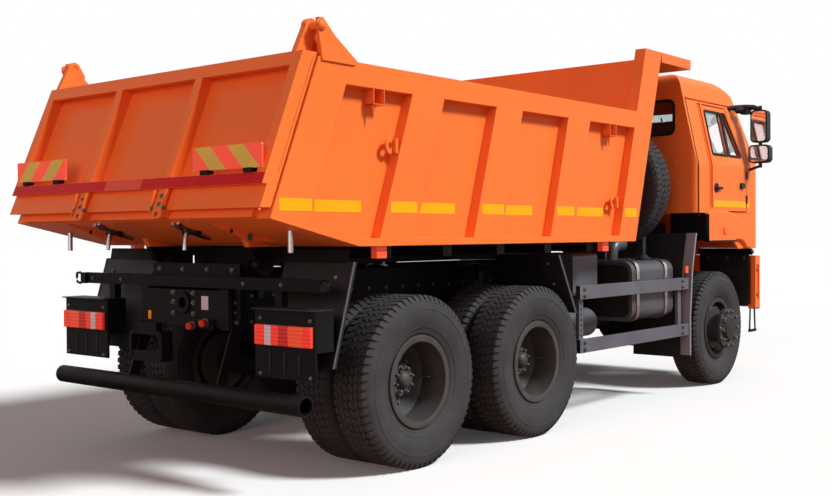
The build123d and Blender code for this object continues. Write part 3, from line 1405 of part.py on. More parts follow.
with BuildPart() as lift_barrel:
    pin_half = LIFT_CHEEK_Y + LIFT_CHEEK_WALL
    bore = LIFT_BARREL_R - LIFT_STEP_R + LIFT_SLEEVE_GAP
    rod(along(-LIFT_FOOT), along(BARREL_TOP), LIFT_BARREL_R)
    cross_rod(LIFT_BASE_STATION, (-pin_half, pin_half), LIFT_BASE_Z, LIFT_PIN_R)
    rod(along(BARREL_FLOOR), along(BARREL_TOP), bore, mode=Mode.SUBTRACT)
keep(lift_barrel, "lift_barrel")

for stage in range(1, LIFT_STAGES + 1):
    radius = LIFT_BARREL_R - stage * LIFT_STEP_R
    foot = BARREL_FLOOR + stage * LIFT_STEP_FOOT
    top = BARREL_TOP + stage * LIFT_STEP_UP
    with BuildPart() as lift_stage:
        rod(along(foot), along(top), radius)
        if stage == LIFT_STAGES:
            rod(along(top), along(CLOSED_LENGTH), LIFT_EYE_NECK_R)
            cross_rod(LIFT_EYE_STATION, (-LIFT_EYE_R, LIFT_EYE_R), LIFT_EYE_Z, LIFT_EYE_R)
        else:
            bore = radius - LIFT_STEP_R + LIFT_SLEEVE_GAP
            rod(along(foot + LIFT_SLEEVE_END), along(top), bore, mode=Mode.SUBTRACT)
    keep(lift_stage, f"lift_stage_{stage}")


# Cab
def cab_form(inset):
    """The cab's outer form, moved in by an inset on every side."""
    rear = CAB_REAR + inset
    front = CAB_FRONT - inset
    low = CAB_LOW + inset
    roof = CAB_ROOF - inset
    half = CAB_HALF - inset
    roof_half = CAB_ROOF_HALF - inset
    with BuildPart() as form:
        with BuildSketch(side_plane(half)) as profile:
            Polygon(
                (rear, low),
                (rear, roof),
                (front - BROW_BACK, roof - BROW_DROP),
                (front - SCREEN_TOP_BACK, SCREEN_TOP - inset / 2),
                (front - WAIST_BACK, CAB_WAIST),
                (front - APRON_BACK, APRON_TOP),
                (front, APRON_LOW),
                (front, low),
            )
            fillet(profile.vertices().group_by(Axis.Y)[-1], CAB_ROOF_REAR_R - inset)
        extrude(profile.sketch, amount=2 * half)
        with BuildSketch(cross_plane(rear)) as section:
            Polygon(
                (-half, low), (half, low), (half, CAB_WAIST),
                (roof_half, roof), (-roof_half, roof), (-half, CAB_WAIST),
            )
            fillet(section.vertices().group_by(Axis.Y)[-1], CAB_ROOF_EDGE_R - inset)
            shoulders = section.vertices().filter_by(lambda corner: abs(corner.Y - CAB_WAIST) < PIN_GAP)
            fillet(shoulders, CAB_WAIST_R - inset)
        extrude(section.sketch, amount=front - rear, mode=Mode.INTERSECT)
        with BuildSketch(level_plane(low)) as plan:
            Polygon((rear, -half), (front, -half), (front, half), (rear, half))
            fillet(plan.vertices().group_by(Axis.X)[-1], CAB_FRONT_CORNER_R - inset)
            fillet(plan.vertices().group_by(Axis.X)[0], CAB_REAR_CORNER_R - inset)
        extrude(plan.sketch, amount=CAB_ROOF, mode=Mode.INTERSECT)
    return form.part


DOOR_REAR = FRONT_AXLE - DOOR_REAR_BACK
DOOR_FRONT = FRONT_AXLE + DOOR_FRONT_AHEAD
DOOR_OUTLINE = [
    (DOOR_REAR, DOOR_LOW),
    (DOOR_FRONT, DOOR_LOW),
    (DOOR_FRONT, CAB_WAIST + DOOR_SHOULDER),
    (FRONT_AXLE + DOOR_TOP_AHEAD, DOOR_TOP),
    (DOOR_REAR, DOOR_TOP),
]
DIVIDER = FRONT_AXLE + PANE_DIVIDER_AHEAD
PANES = (
    # rear station, front station at the sill, front station at the head
    (FRONT_AXLE - PANE_REAR_BACK, DIVIDER, DIVIDER),
    (DIVIDER + PANE_DIVIDER, FRONT_AXLE + PANE_SILL_AHEAD, FRONT_AXLE + PANE_TOP_AHEAD),
)
REAR_WINDOWS = (
    # middle, width
    (-REAR_WINDOW_Y, REAR_WINDOW_WIDTH),
    (0, REAR_WINDOW_MID_WIDTH),
    (REAR_WINDOW_Y, REAR_WINDOW_WIDTH),
)
FENDER_REAR = FRONT_AXLE - FENDER_REAR_BACK
FENDER_FRONT = FRONT_AXLE + FENDER_FRONT_AHEAD
BEYOND = 200
SKIN_IN = CAB_HALF - 2 * CAB_ROOF_EDGE_R
SKIN_OUT = CAB_HALF + BEYOND

outer_form = cab_form(0)
inner_form = cab_form(CAB_WALL)
glass_outer = cab_form(GLASS_INSET)
glass_inner = cab_form(GLASS_INSET + GLASS_WALL)


def outline_slab(points, grow, y, mode):
    """Extrude an outline of (station, z) points, moved outwards by an amount, across a y range."""
    with BuildSketch(side_plane(y[1])) as grown:
        Polygon(*points)
        offset(amount=grow, kind=Kind.INTERSECTION)
    extrude(grown.sketch, amount=y[1] - y[0], mode=mode)


def pane_points(rear, sill_front, head_front):
    return [(rear, PANE_SILL), (sill_front, PANE_SILL), (head_front, PANE_TOP), (rear, PANE_TOP)]


def cab_windows(gap, mode):
    """The windscreen's and the rear windows' openings, made smaller by a gap."""
    screen_z = (WINDSCREEN_LOW + gap, CAB_ROOF_SEAM - gap)
    screen_y = (-WINDSCREEN_Y + gap, WINDSCREEN_Y - gap)
    block((CAB_FRONT - SCREEN_TOP_BACK, CAB_FRONT + BEYOND), screen_y, screen_z, mode=mode)
    window_z = (REAR_WINDOW_TOP - REAR_WINDOW_HEIGHT + gap, REAR_WINDOW_TOP - gap)
    for middle, width in REAR_WINDOWS:
        window_y = about(middle, width - 2 * gap)
        cross_slab(window_y, window_z, about(CAB_REAR, 3 * CAB_WALL), REAR_WINDOW_R - gap, mode=mode)


with BuildPart() as cab_shell:
    whole = (CAB_REAR - BEYOND, CAB_FRONT + BEYOND)
    wide = (-SKIN_OUT, SKIN_OUT)
    inside_y = (-CAB_HALF + CAB_WALL, CAB_HALF - CAB_WALL)
    add(outer_form)
    add(inner_form, mode=Mode.SUBTRACT)
    block((CAB_REAR - BEYOND, FENDER_FRONT), wide, (CAB_LOW - BEYOND, CAB_FLOOR), mode=Mode.SUBTRACT)
    block(whole, wide, (CAB_ROOF_SEAM, CAB_ROOF + BEYOND), mode=Mode.SUBTRACT)
    deck = (CAB_FLOOR, CAB_FLOOR + CAB_WALL)
    block((CAB_REAR + CAB_WALL, FENDER_FRONT), inside_y, deck)
    block((FENDER_FRONT, FENDER_FRONT + CAB_WALL), inside_y, (CAB_LOW + CAB_WALL, deck[1]))
    for sign in SIDES.values():
        outline_slab(DOOR_OUTLINE, DOOR_GAP, span(sign, SKIN_IN, SKIN_OUT), Mode.SUBTRACT)
        lug = span(sign, CAB_LUG_IN, CAB_LUG_IN + CAB_LUG_WIDTH)
        block(about(CAB_PIVOT_STATION, 2 * CAB_LUG_R), lug, (CAB_PIVOT_Z, CAB_LOW))
        cross_rod(CAB_PIVOT_STATION, lug, CAB_PIVOT_Z, CAB_LUG_R)
        cross_rod(CAB_PIVOT_STATION, lug, CAB_PIVOT_Z, CAB_TUBE_R + PIN_GAP, mode=Mode.SUBTRACT)
    cab_windows(0, Mode.SUBTRACT)
    for slot in range(GRILLE_SLOTS):
        slot_low = GRILLE_LOW + slot * GRILLE_PITCH
        slot_x = (CAB_FRONT - GRILLE_DEPTH, CAB_FRONT + BEYOND)
        slot_z = (slot_low, slot_low + GRILLE_SLOT)
        block(slot_x, (-GRILLE_HALF, GRILLE_HALF), slot_z, mode=Mode.SUBTRACT)
keep(cab_shell, "cab_shell")

with BuildPart() as cab_roof:
    add(outer_form)
    add(inner_form, mode=Mode.SUBTRACT)
    block(whole, wide, (0, CAB_ROOF_SEAM + CAB_SEAM_GAP), mode=Mode.SUBTRACT)
keep(cab_roof, "cab_roof")

with BuildPart() as cab_openings:
    cab_windows(GLASS_GAP, Mode.ADD)

with BuildPart() as cab_glass:
    add(glass_outer)
    add(glass_inner, mode=Mode.SUBTRACT)
    add(cab_openings.part, mode=Mode.INTERSECT)
keep(cab_glass, "cab_glass")

for side, sign in SIDES.items():
    skin = span(sign, SKIN_IN, SKIN_OUT)
    with BuildPart() as door:
        add(outer_form)
        add(inner_form, mode=Mode.SUBTRACT)
        side_sheet(DOOR_OUTLINE, skin, mode=Mode.INTERSECT)
        for pane in PANES:
            side_sheet(pane_points(*pane), skin, mode=Mode.SUBTRACT)
    keep(door, f"door_{side}")

    with BuildPart() as door_openings:
        for pane in PANES:
            outline_slab(pane_points(*pane), -GLASS_GAP, skin, Mode.ADD)

    with BuildPart() as door_glass:
        add(glass_outer)
        add(glass_inner, mode=Mode.SUBTRACT)
        add(door_openings.part, mode=Mode.INTERSECT)
    keep(door_glass, f"door_glass_{side}")

with BuildPart() as cab_fenders:
    skirt = CAB_HALF + FENDER_PROUD
    top = CAB_FLOOR - FENDER_GAP
    front = FENDER_FRONT - FENDER_GAP
    arch_end = FRONT_AXLE + ARCH_FRONT_AHEAD
    arch_start = arch_end - ARCH_FRONT_RUN
    for sign in SIDES.values():
        side_sheet(
            [
                (FENDER_REAR, FENDER_ARCH_Z),
                (FENDER_REAR, top),
                (front, top),
                (front, CAB_LOW),
                (arch_end, CAB_LOW),
                (arch_start, FENDER_ARCH_Z),
            ],
            span(sign, FENDER_IN, skirt),
        )
        flare_y = span(sign, skirt - FENDER_WALL, skirt + FLARE_PROUD)
        flare_flat = FRONT_AXLE + FLARE_FLAT_AHEAD
        flare_end = FRONT_AXLE + FLARE_END_AHEAD
        flare_mid = ((flare_flat + 2 * flare_end) / 3, (2 * FLARE_TOP + FENDER_ARCH_Z) / 3)
        with BuildSketch(side_plane(flare_y[1])) as flare:
            with BuildLine():
                Line((FENDER_REAR, FENDER_ARCH_Z), (FENDER_REAR, FLARE_TOP))
                Line((FENDER_REAR, FLARE_TOP), (flare_flat, FLARE_TOP))
                ThreePointArc((flare_flat, FLARE_TOP), flare_mid, (flare_end, FENDER_ARCH_Z))
                Line((flare_end, FENDER_ARCH_Z), (FENDER_REAR, FENDER_ARCH_Z))
            make_face()
        extrude(flare.sketch, amount=flare_y[1] - flare_y[0])
        arch_x = (FENDER_REAR + FENDER_WALL, FENDER_FRONT - FENDER_WALL)
        arch_y = span(sign, FENDER_IN - FENDER_WALL, skirt - FENDER_WALL)
        block(arch_x, arch_y, (CAB_LOW - FENDER_WALL, CAB_FLOOR - FENDER_WALL), mode=Mode.SUBTRACT)
keep(cab_fenders, "cab_fenders")

# Bumper
with BuildPart() as front_bumper:
    bumper_z = (BUMPER_LOW, BUMPER_TOP)
    plan_slab(BUMPER_REAR, BUMPER_FRONT, BUMPER_HALF, BUMPER_CORNER_R, bumper_z)
    hollow_half = BUMPER_HALF - BUMPER_WALL
    hollow_front = BUMPER_FRONT - BUMPER_WALL
    plan_slab(BUMPER_REAR, hollow_front, hollow_half, BUMPER_CORNER_R - BUMPER_WALL, bumper_z, Mode.SUBTRACT)
    panel_rear = BUMPER_REAR + BUMPER_PANEL_REAR
    for sign in SIDES.values():
        block((RAIL_FRONT, hollow_front), span(sign, SUBFRAME_IN, RAIL_OUT), (RAIL_LOW, RAIL_TOP))
        lamp_x = (BUMPER_FRONT - HEADLAMP_DEPTH, BUMPER_FRONT + BEYOND)
        lamp_y = span(sign, HEADLAMP_IN, HEADLAMP_OUT)
        block(lamp_x, lamp_y, (HEADLAMP_LOW, HEADLAMP_TOP), mode=Mode.SUBTRACT)
        panel_y = span(sign, BUMPER_HALF - BUMPER_PANEL_DEPTH, BUMPER_HALF + BEYOND)
        panel_z = (BUMPER_LOW + BUMPER_PANEL_MARGIN, BUMPER_TOP - BUMPER_PANEL_MARGIN)
        block((panel_rear, panel_rear + BUMPER_PANEL_LENGTH), panel_y, panel_z, mode=Mode.SUBTRACT)
        stirrup_y = sign * STIRRUP_Y
        middle = BUMPER_FRONT - STIRRUP_BACK
        ends = (middle - STIRRUP_LOW_HALF, middle + STIRRUP_LOW_HALF)
        tops = (middle - STIRRUP_TOP_HALF, middle + STIRRUP_TOP_HALF)
        foot = BUMPER_LOW + STIRRUP_SINK
        for low_end, high_end in zip(ends, tops):
            rod((low_end, stirrup_y, STIRRUP_LOW), (high_end, stirrup_y, foot), STIRRUP_R)
        tread = (ends[0] - STIRRUP_R, ends[1] + STIRRUP_R)
        block(tread, about(stirrup_y, 3 * STIRRUP_R), about(STIRRUP_LOW, 3 * STIRRUP_R))
        pad_y = span(sign, STIRRUP_Y - 2 * STIRRUP_R, hollow_half + STIRRUP_R)
        block((tops[0] - 2 * STIRRUP_R, tops[1] + 2 * STIRRUP_R), pad_y, (BUMPER_LOW, foot + STIRRUP_R))
keep(front_bumper, "front_bumper")

with BuildPart() as headlamps:
    for sign in SIDES.values():
        lens_y = span(sign, HEADLAMP_IN + GLASS_GAP, HEADLAMP_OUT - GLASS_GAP)
        lens_z = (HEADLAMP_LOW + GLASS_GAP, HEADLAMP_TOP - GLASS_GAP)
        block((BUMPER_FRONT - HEADLAMP_DEPTH, BUMPER_FRONT - GLASS_GAP), lens_y, lens_z)
keep(headlamps, "headlamps")

# Cab inside
DECK = CAB_FLOOR + CAB_WALL
DASH = (CAB_FRONT - DASH_BACK - DASH_LENGTH, CAB_FRONT - DASH_BACK)
SEAT_BACK_TOP = CAB_ROOF - HEAD_ROOM
with BuildPart() as seats:
    seat = (CAB_REAR + SEAT_REAR_GAP, DASH[0] - KNEE_ROOM)
    stand = (seat[0] + SEAT_STAND_INSET, seat[1] - SEAT_STAND_INSET)
    back_low = DECK + SEAT_STAND + SEAT_PAD - SEAT_BACK_GAP
    for place in (-1, 0, 1):
        y = place * SEAT_PITCH
        block(stand, about(y, SEAT_HALF), (DECK, DECK + SEAT_STAND))
        block(seat, about(y, 2 * SEAT_HALF), (DECK + SEAT_STAND, DECK + SEAT_STAND + SEAT_PAD))
        side_sheet(
            [
                (seat[0], back_low),
                (seat[0] + SEAT_BACK_WALL, back_low),
                (seat[0] + SEAT_BACK_WALL - SEAT_BACK_LEAN, SEAT_BACK_TOP),
                (seat[0] - SEAT_BACK_LEAN, SEAT_BACK_TOP),
            ],
            about(y, 2 * SEAT_BACK_HALF),
        )
keep(seats, "seats")

with BuildPart() as dashboard:
    side_sheet(
        [
            (DASH[0], DASH_LOW),
            (DASH[0], DASH_FACE_TOP),
            (DASH[0] + DASH_CROWN, DASH_TOP),
            (DASH[1] - DASH_CROWN / 2, DASH_FACE_TOP),
            (DASH[1], DASH_LOW),
        ],
        (-DASH_HALF, DASH_HALF),
    )
    column_foot = (DASH[0] + DASH_CROWN, SEAT_PITCH, DASH_FACE_TOP)
    column_head = (column_foot[0] - COLUMN_RUN, SEAT_PITCH, column_foot[2] + COLUMN_RISE)
    rod(column_foot, column_head, COLUMN_R)
    wheel_middle = (at(column_head[0]), SEAT_PITCH, column_head[2])
    with Locations(Plane(origin=wheel_middle, z_dir=(-COLUMN_RUN, 0, COLUMN_RISE))):
        Torus(STEERING_WHEEL_R, STEERING_RIM_R)
        Cylinder(STEERING_HUB_R, STEERING_HUB_LENGTH)
        Box(2 * STEERING_WHEEL_R, STEERING_SPOKE, STEERING_RIM_R)
keep(dashboard, "dashboard")

# Mirrors
MIRROR_STATION = CAB_FRONT - MIRROR_BACK
MIRROR_ARM_Z = CAB_ROOF_SEAM - MIRROR_ARM_DROP
MIRROR_TALL_TOP = MIRROR_ARM_Z - MIRROR_ARM_GAP
MIRROR_TALL_LOW = MIRROR_TALL_TOP - MIRROR_TALL_HEIGHT
MIRROR_WIDE_TOP = MIRROR_TALL_LOW - MIRROR_HEAD_GAP
MIRROR_WIDE_LOW = MIRROR_WIDE_TOP - MIRROR_WIDE_HEIGHT
MIRROR_HEADS = (
    # width, lower edge, upper edge
    (MIRROR_TALL_WIDTH, MIRROR_TALL_LOW, MIRROR_TALL_TOP),
    (MIRROR_WIDE_WIDTH, MIRROR_WIDE_LOW, MIRROR_WIDE_TOP),
)
with BuildPart() as mirrors:
    post_low = MIRROR_WIDE_LOW - MIRROR_CORNER_R
    post_top = MIRROR_ARM_Z + 2 * MIRROR_ARM_R
    for sign in SIDES.values():
        arm_end = (MIRROR_STATION, sign * MIRROR_Y, MIRROR_ARM_Z)
        arm_root = (MIRROR_STATION - MIRROR_ARM_ROOT_BACK, sign * MIRROR_ARM_ROOT_Y, MIRROR_ARM_Z)
        rod(arm_end, arm_root, MIRROR_ARM_R)
        stay_end = (MIRROR_STATION, sign * MIRROR_Y, post_low + MIRROR_POST_R)
        rod(stay_end, (MIRROR_STATION, sign * MIRROR_FOOT_Y, MIRROR_FOOT_Z), MIRROR_ARM_R)
    add(outer_form, mode=Mode.SUBTRACT)
    depth = about(MIRROR_STATION, MIRROR_DEPTH)
    for sign in SIDES.values():
        for width, low, high in MIRROR_HEADS:
            cross_slab(about(sign * MIRROR_Y, width), (low, high), depth, MIRROR_CORNER_R)
        post = [(MIRROR_STATION, sign * MIRROR_Y, z) for z in (post_low, post_top)]
        rod(*post, MIRROR_POST_R)
    kerb_out = MIRROR_Y - MIRROR_TALL_WIDTH / 2
    kerb_front = MIRROR_STATION - MIRROR_ARM_R
    kerb_z = (MIRROR_ARM_Z - KERB_MIRROR_HEIGHT, MIRROR_ARM_Z)
    kerb_y = (-kerb_out, -kerb_out + KERB_MIRROR_WIDTH)
    block((kerb_front - KERB_MIRROR_LENGTH, kerb_front), kerb_y, kerb_z)
keep(mirrors, "mirrors")
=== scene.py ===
import json
from itertools import product
from math import cos, exp, radians, sin, tan, tau

import bmesh
import bpy
from mathutils import Matrix, Vector


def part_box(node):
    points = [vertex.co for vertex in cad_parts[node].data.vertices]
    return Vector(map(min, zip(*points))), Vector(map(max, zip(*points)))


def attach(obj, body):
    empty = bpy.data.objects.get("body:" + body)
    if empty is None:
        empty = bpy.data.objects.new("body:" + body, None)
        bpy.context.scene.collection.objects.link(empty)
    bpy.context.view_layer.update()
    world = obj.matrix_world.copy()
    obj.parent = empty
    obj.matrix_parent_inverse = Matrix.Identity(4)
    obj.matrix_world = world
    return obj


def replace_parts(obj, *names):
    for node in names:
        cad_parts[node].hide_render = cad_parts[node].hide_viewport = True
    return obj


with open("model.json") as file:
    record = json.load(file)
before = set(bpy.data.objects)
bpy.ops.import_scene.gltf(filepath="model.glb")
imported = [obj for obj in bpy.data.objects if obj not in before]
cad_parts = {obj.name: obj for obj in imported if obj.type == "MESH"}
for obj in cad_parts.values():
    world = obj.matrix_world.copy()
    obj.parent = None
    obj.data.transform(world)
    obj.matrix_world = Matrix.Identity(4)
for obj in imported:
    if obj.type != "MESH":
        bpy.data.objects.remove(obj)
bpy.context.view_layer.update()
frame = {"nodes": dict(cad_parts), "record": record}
scene = bpy.context.scene

# Places are metres. A station is a distance forward of the rearmost axle.
REAR_AXLE_X = sum(corner.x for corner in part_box("tyres_rear_left")) / 2
SIDES = (("left", 1), ("right", -1))
REARWARD = (-1, 0, 0)
MID_AXLE = 1.32
FRONT_AXLE = 4.66
AXLE_Z = 0.541
RAIL_OUT = 0.43
BED_OUT = 1.25
PANEL_OUT = 1.18
LIP = (-1.29, 1.548)
REAR_LEAN = 0.412
GATE_BACK = 0.12
CAB_HALF = 1.205
CAB_WAIST = 2.08
CAB_LEAN = 0.185 / 0.85
CAB_REAR = 3.95
CAB_FRONT = 5.49
SCREEN_BACK = 0.112
SCREEN_LEAN = 0.318 / 0.72
BUMPER_FRONT = 5.56


def at(station, y, z):
    """A point of the truck from its station."""
    return Vector((station + REAR_AXLE_X, y, z))


def along(y, outline):
    """Points of a (station, z) outline at one y."""
    return [at(p[0], y, p[1]) for p in outline]


def across(station, outline, sign=1):
    """Points of a (y, z) outline at one station."""
    return [at(station, sign * p[0], p[1]) for p in outline]


def layer(stations, y, z):
    """Corners of a level rectangle at one height."""
    return [at(stations[i], y[j], z) for i, j in ((0, 0), (1, 0), (1, 1), (0, 1))]


def span(sign, near, far):
    """Ends of a stretch of y that is given for the left side, low end first."""
    return sorted((sign * near, sign * far))


def about(middle, half):
    """The range with a given middle and half length."""
    return middle - half, middle + half


def oblong(first, second):
    """Corners of a 2-D rectangle, anticlockwise, from its two ranges."""
    return [(first[0], second[0]), (first[1], second[0]), (first[1], second[1]), (first[0], second[1])]


def rear_edge(z):
    """Station of the bed's leaning rear edge at a height."""
    return LIP[0] + REAR_LEAN * (z - LIP[1])


def gate_face(z):
    """Station of the tailgate's rear face at a height."""
    return rear_edge(z) - GATE_BACK


def cab_side(z):
    """Half width of the cab's skin at a height; it leans in above the waist."""
    return CAB_HALF - CAB_LEAN * max(0.0, z - CAB_WAIST)


def screen_station(z):
    """Station of the windscreen's plane at a height."""
    return CAB_FRONT - SCREEN_BACK - (z - CAB_WAIST) * SCREEN_LEAN


# Materials
class Tree:
    """The node tree of a material or world."""

    def __init__(self, owner):
        owner.use_nodes = True
        self.tree = owner.node_tree

    def add(self, kind, **values):
        """A new node; a value sets its property of that name, or else its socket."""
        node = self.tree.nodes.new(kind)
        for name, value in values.items():
            if name in node.bl_rna.properties:
                setattr(node, name, value)
            else:
                node.inputs[name.replace("_", " ").title()].default_value = value
        return node

    def join(self, source, target):
        self.tree.links.new(source, target)

    def calc(self, operation, first, second=None, value=0.0):
        node = self.add("ShaderNodeMath", operation=operation)
        node.inputs[1].default_value = value
        self.join(first, node.inputs[0])
        if second is not None:
            self.join(second, node.inputs[1])
        return node.outputs["Value"]


class Nodes(Tree):
    """A new material whose textures lie in the object's own frame."""

    def __init__(self, name):
        self.material = bpy.data.materials.new(name)
        super().__init__(self.material)
        self.shader = self.tree.nodes["Principled BSDF"]
        self.place = self.add("ShaderNodeTexCoord").outputs["Object"]

    def feed(self, name, source):
        """Join a source to one of the shader's own sockets."""
        self.join(source, self.shader.inputs[name])

    def noise(self, scale, detail=3.0):
        node = self.add("ShaderNodeTexNoise", scale=scale, detail=detail)
        self.join(self.place, node.inputs["Vector"])
        return node.outputs["Fac"]

    def cells(self, scale):
        node = self.add("ShaderNodeTexVoronoi", scale=scale)
        self.join(self.place, node.inputs["Vector"])
        return node.outputs["Distance"]

    def spread(self, source, low, high, start=0.3, end=0.7):
        """Map the range from start to end to the range from low to high."""
        node = self.add("ShaderNodeMapRange", from_min=start, from_max=end, to_min=low, to_max=high)
        self.join(source, node.inputs["Value"])
        return node.outputs["Result"]

    def wave(self, axis, pitch):
        return self.calc("SINE", self.calc("MULTIPLY", self.axis(axis), value=tau / pitch))

    def blend(self, factor, first, second):
        """Mix two colours; either may be a socket."""
        node = self.add("ShaderNodeMix", data_type="RGBA")
        self.join(factor, node.inputs[0])
        for socket, colour in ((node.inputs[6], first), (node.inputs[7], second)):
            if isinstance(colour, bpy.types.NodeSocket):
                self.join(colour, socket)
            else:
                socket.default_value = (*colour, 1.0)
        return node.outputs[2]

    def axis(self, index):
        node = self.add("ShaderNodeSeparateXYZ")
        self.join(self.place, node.inputs["Vector"])
        return node.outputs[index]

    def relief(self, height, strength, distance=0.002, base=None):
        node = self.add("ShaderNodeBump", strength=strength, distance=distance)
        self.join(height, node.inputs["Height"])
        if base is not None:
            self.join(base, node.inputs["Normal"])
        self.feed("Normal", node.outputs["Normal"])

    def constants(self, **values):
        for name, value in values.items():
            self.shader.inputs[name.replace("_", " ")].default_value = value


ORANGE = (0.92, 0.205, 0.04)
DARK = (0.005, 0.005, 0.0055)
DUST = (0.13, 0.122, 0.118)
DUST_Z = (0.15, 1.3)
GRIME = (0.2, 0.16, 0.12)
WORN = (0.75, 0.97)
PAINT_STEP = 0.001


def shade(colour, factor):
    return tuple(min(1.0, channel * factor) for channel in colour)


def surface(name, colour, rough, metal=0.0, vary=0.1, patch=2.5, grain=350.0, bump=0.06, soft=0.0,
            wear=0.0, dust=0.0, shine=0.25, under=None, behind=None):
    """A worked surface: patchy colour and roughness, grain, softened and worn edges, dust low down.

    It is black below the height under, and rearward of the place behind.
    """
    n = Nodes(name)
    patches = n.noise(patch, 5.0)
    grains = n.noise(grain, 2.0)
    tone = n.blend(n.spread(patches, 0.0, 1.0), shade(colour, 1 - vary), shade(colour, 1 + vary))
    base = None
    if soft:
        base = n.add("ShaderNodeBevel", samples=4, radius=soft).outputs["Normal"]
    if wear:
        turn = n.add("ShaderNodeVectorMath", operation="DOT_PRODUCT")
        n.join(base, turn.inputs[0])
        n.join(n.add("ShaderNodeNewGeometry").outputs["True Normal"], turn.inputs[1])
        rubbed = n.spread(turn.outputs["Value"], wear, 0.0, *WORN)
        rubbed = n.calc("MULTIPLY", rubbed, n.spread(patches, 0.2, 1.0))
        tone = n.blend(rubbed, tone, tuple(0.6 * channel + 0.18 for channel in colour))
    if dust:
        low = n.spread(n.axis(2), dust, 0.0, *DUST_Z)
        tone = n.blend(n.calc("MULTIPLY", low, n.spread(patches, 0.25, 1.0)), tone, DUST)
    for axis, place in ((0, behind), (2, under)):
        if place is not None:
            masked = n.spread(n.axis(axis), 1.0, 0.0, *about(place, PAINT_STEP))
            tone = n.blend(masked, tone, DARK)
    n.feed("Base Color", tone)
    n.feed("Roughness", n.spread(patches, max(0.03, rough - 0.07), rough + 0.09))
    n.relief(grains, bump, 0.001, base)
    n.constants(Metallic=metal, Specular_IOR_Level=shine)
    return n.material


def glass(name, colour):
    n = Nodes(name)
    smear = n.noise(5.0, 4.0)
    n.feed("Base Color", n.blend(n.spread(smear, 0.0, 1.0), shade(colour, 0.94), colour))
    n.feed("Roughness", n.spread(smear, 0.0, 0.05))
    n.relief(n.noise(2.0), 0.02)
    n.constants(Transmission_Weight=1.0, IOR=1.45)
    return n.material


def lens(name, colour, painted_glow, pitch=0.011):
    """Moulded lamp glass with fine flutes, backed by a reflector; a faint painted glow lights it though the
    lamp is off.
    """
    n = Nodes(name)
    flutes = n.calc("ADD", n.wave(1, pitch), n.wave(2, 2 * pitch))
    tone = n.blend(n.spread(flutes, 0.0, 1.0, -1.5, 1.5), shade(colour, 0.86), shade(colour, 1.1))
    n.feed("Base Color", tone)
    n.feed("Roughness", n.spread(n.noise(30.0), 0.08, 0.2))
    n.relief(flutes, 0.25)
    # The faint glow is painted light: these lamps are not lit.
    n.constants(Specular_IOR_Level=0.3, Emission_Color=(*colour, 1.0), Emission_Strength=painted_glow)
    return n.material


def tape(name, colour, dark, pitch=0.03):
    """Reflective tape with fine lines along it and a pressed cell pattern."""
    n = Nodes(name)
    n.feed("Base Color", n.blend(n.spread(n.wave(2, pitch), 0.35, 0.0, 0.75, 1.0), colour, dark))
    n.feed("Roughness", n.spread(n.noise(12.0), 0.25, 0.4))
    n.relief(n.cells(220.0), 0.15)
    n.constants(Specular_IOR_Level=0.06)
    return n.material


def striped(name, first, second, pitch, phase):
    """Warning board with slanting stripes that fall away from the middle of the truck, and a faint painted
    glow.
    """
    n = Nodes(name)
    slant = n.calc("ADD", n.calc("ABSOLUTE", n.axis(1)), n.axis(2))
    saw = n.calc("FRACT", n.calc("ADD", n.calc("MULTIPLY", slant, value=1 / pitch), value=phase))
    stripes = n.spread(saw, 0.0, 1.0, 0.49, 0.51)
    grime = n.spread(n.noise(7.0, 5.0), 0.0, 0.18)
    tone = n.blend(grime, n.blend(stripes, first, second), GRIME)
    n.feed("Base Color", tone)
    # The board glows with its own colour: painted light, though it is no lamp.
    n.feed("Emission Color", tone)
    n.feed("Roughness", n.spread(n.noise(14.0), 0.3, 0.45))
    n.relief(n.cells(260.0), 0.12)
    n.constants(Specular_IOR_Level=0.1, Emission_Strength=0.28)
    return n.material


def woven(name, colour, pitch):
    """Seat cloth with a fine plain weave."""
    n = Nodes(name)
    threads = [n.wave(axis, pitch) for axis in range(3)]
    crossings = [n.calc("MULTIPLY", threads[i], threads[i + 1]) for i in range(2)]
    weave = n.calc("ADD", *crossings)
    patches = n.spread(n.noise(6.0, 5.0), 0.75, 1.0)
    tone = n.calc("MULTIPLY", n.spread(weave, 0.3, 1.0, -1.0, 1.0), patches)
    n.feed("Base Color", n.blend(tone, shade(colour, 0.6), shade(colour, 1.5)))
    n.feed("Roughness", n.spread(weave, 0.75, 0.95, -1.0, 1.0))
    n.relief(weave, 0.35)
    n.constants(Sheen_Weight=0.25)
    return n.material


PAINT_LOOK = dict(
    colour=ORANGE, rough=0.4, vary=0.05, patch=1.3, grain=160.0, bump=0.03, soft=0.006, wear=0.2, shine=0.13,
)
FENDER_BACK = at(4.123, 0, 0).x
BUMPER_UNDER = 0.694
# Below this height the bed floor's orange underside is painted black: painted shade.
FLOOR_SHADE_BELOW = 1.388
paint = surface("orange_paint", **PAINT_LOOK)
fender_paint = surface("fender_paint", behind=FENDER_BACK, **PAINT_LOOK)
bumper_paint = surface("bumper_paint", under=BUMPER_UNDER, **PAINT_LOOK)
floor_paint_shaded_below = surface("bed_floor_painted_shade", under=FLOOR_SHADE_BELOW, **PAINT_LOOK)
black = surface("black_paint", DARK, 0.5, vary=0.3, patch=4.0, soft=0.004, wear=0.04, dust=0.05, shine=0.09)
WHEEL_LOOK = dict(vary=0.2, patch=6.0, soft=0.004, wear=0.1)
rim_paint = surface("rim_paint", (0.055, 0.054, 0.054), 0.5, dust=0.2, **WHEEL_LOOK)
wheel_black = surface("wheel_black", (0.03, 0.03, 0.032), 0.48, dust=0.15, **WHEEL_LOOK)
grey = surface("grey_metal", (0.12, 0.128, 0.155), 0.42, 0.15, vary=0.14, patch=3.5, soft=0.005, wear=0.1)
pale_grey = surface("pale_grey_strip", (0.24, 0.25, 0.28), 0.45, patch=4.0, soft=0.003)
tank_skin = surface("tank_skin", (0.085, 0.09, 0.105), 0.36, 0.25, vary=0.2, patch=3.0, soft=0.004, dust=0.1)
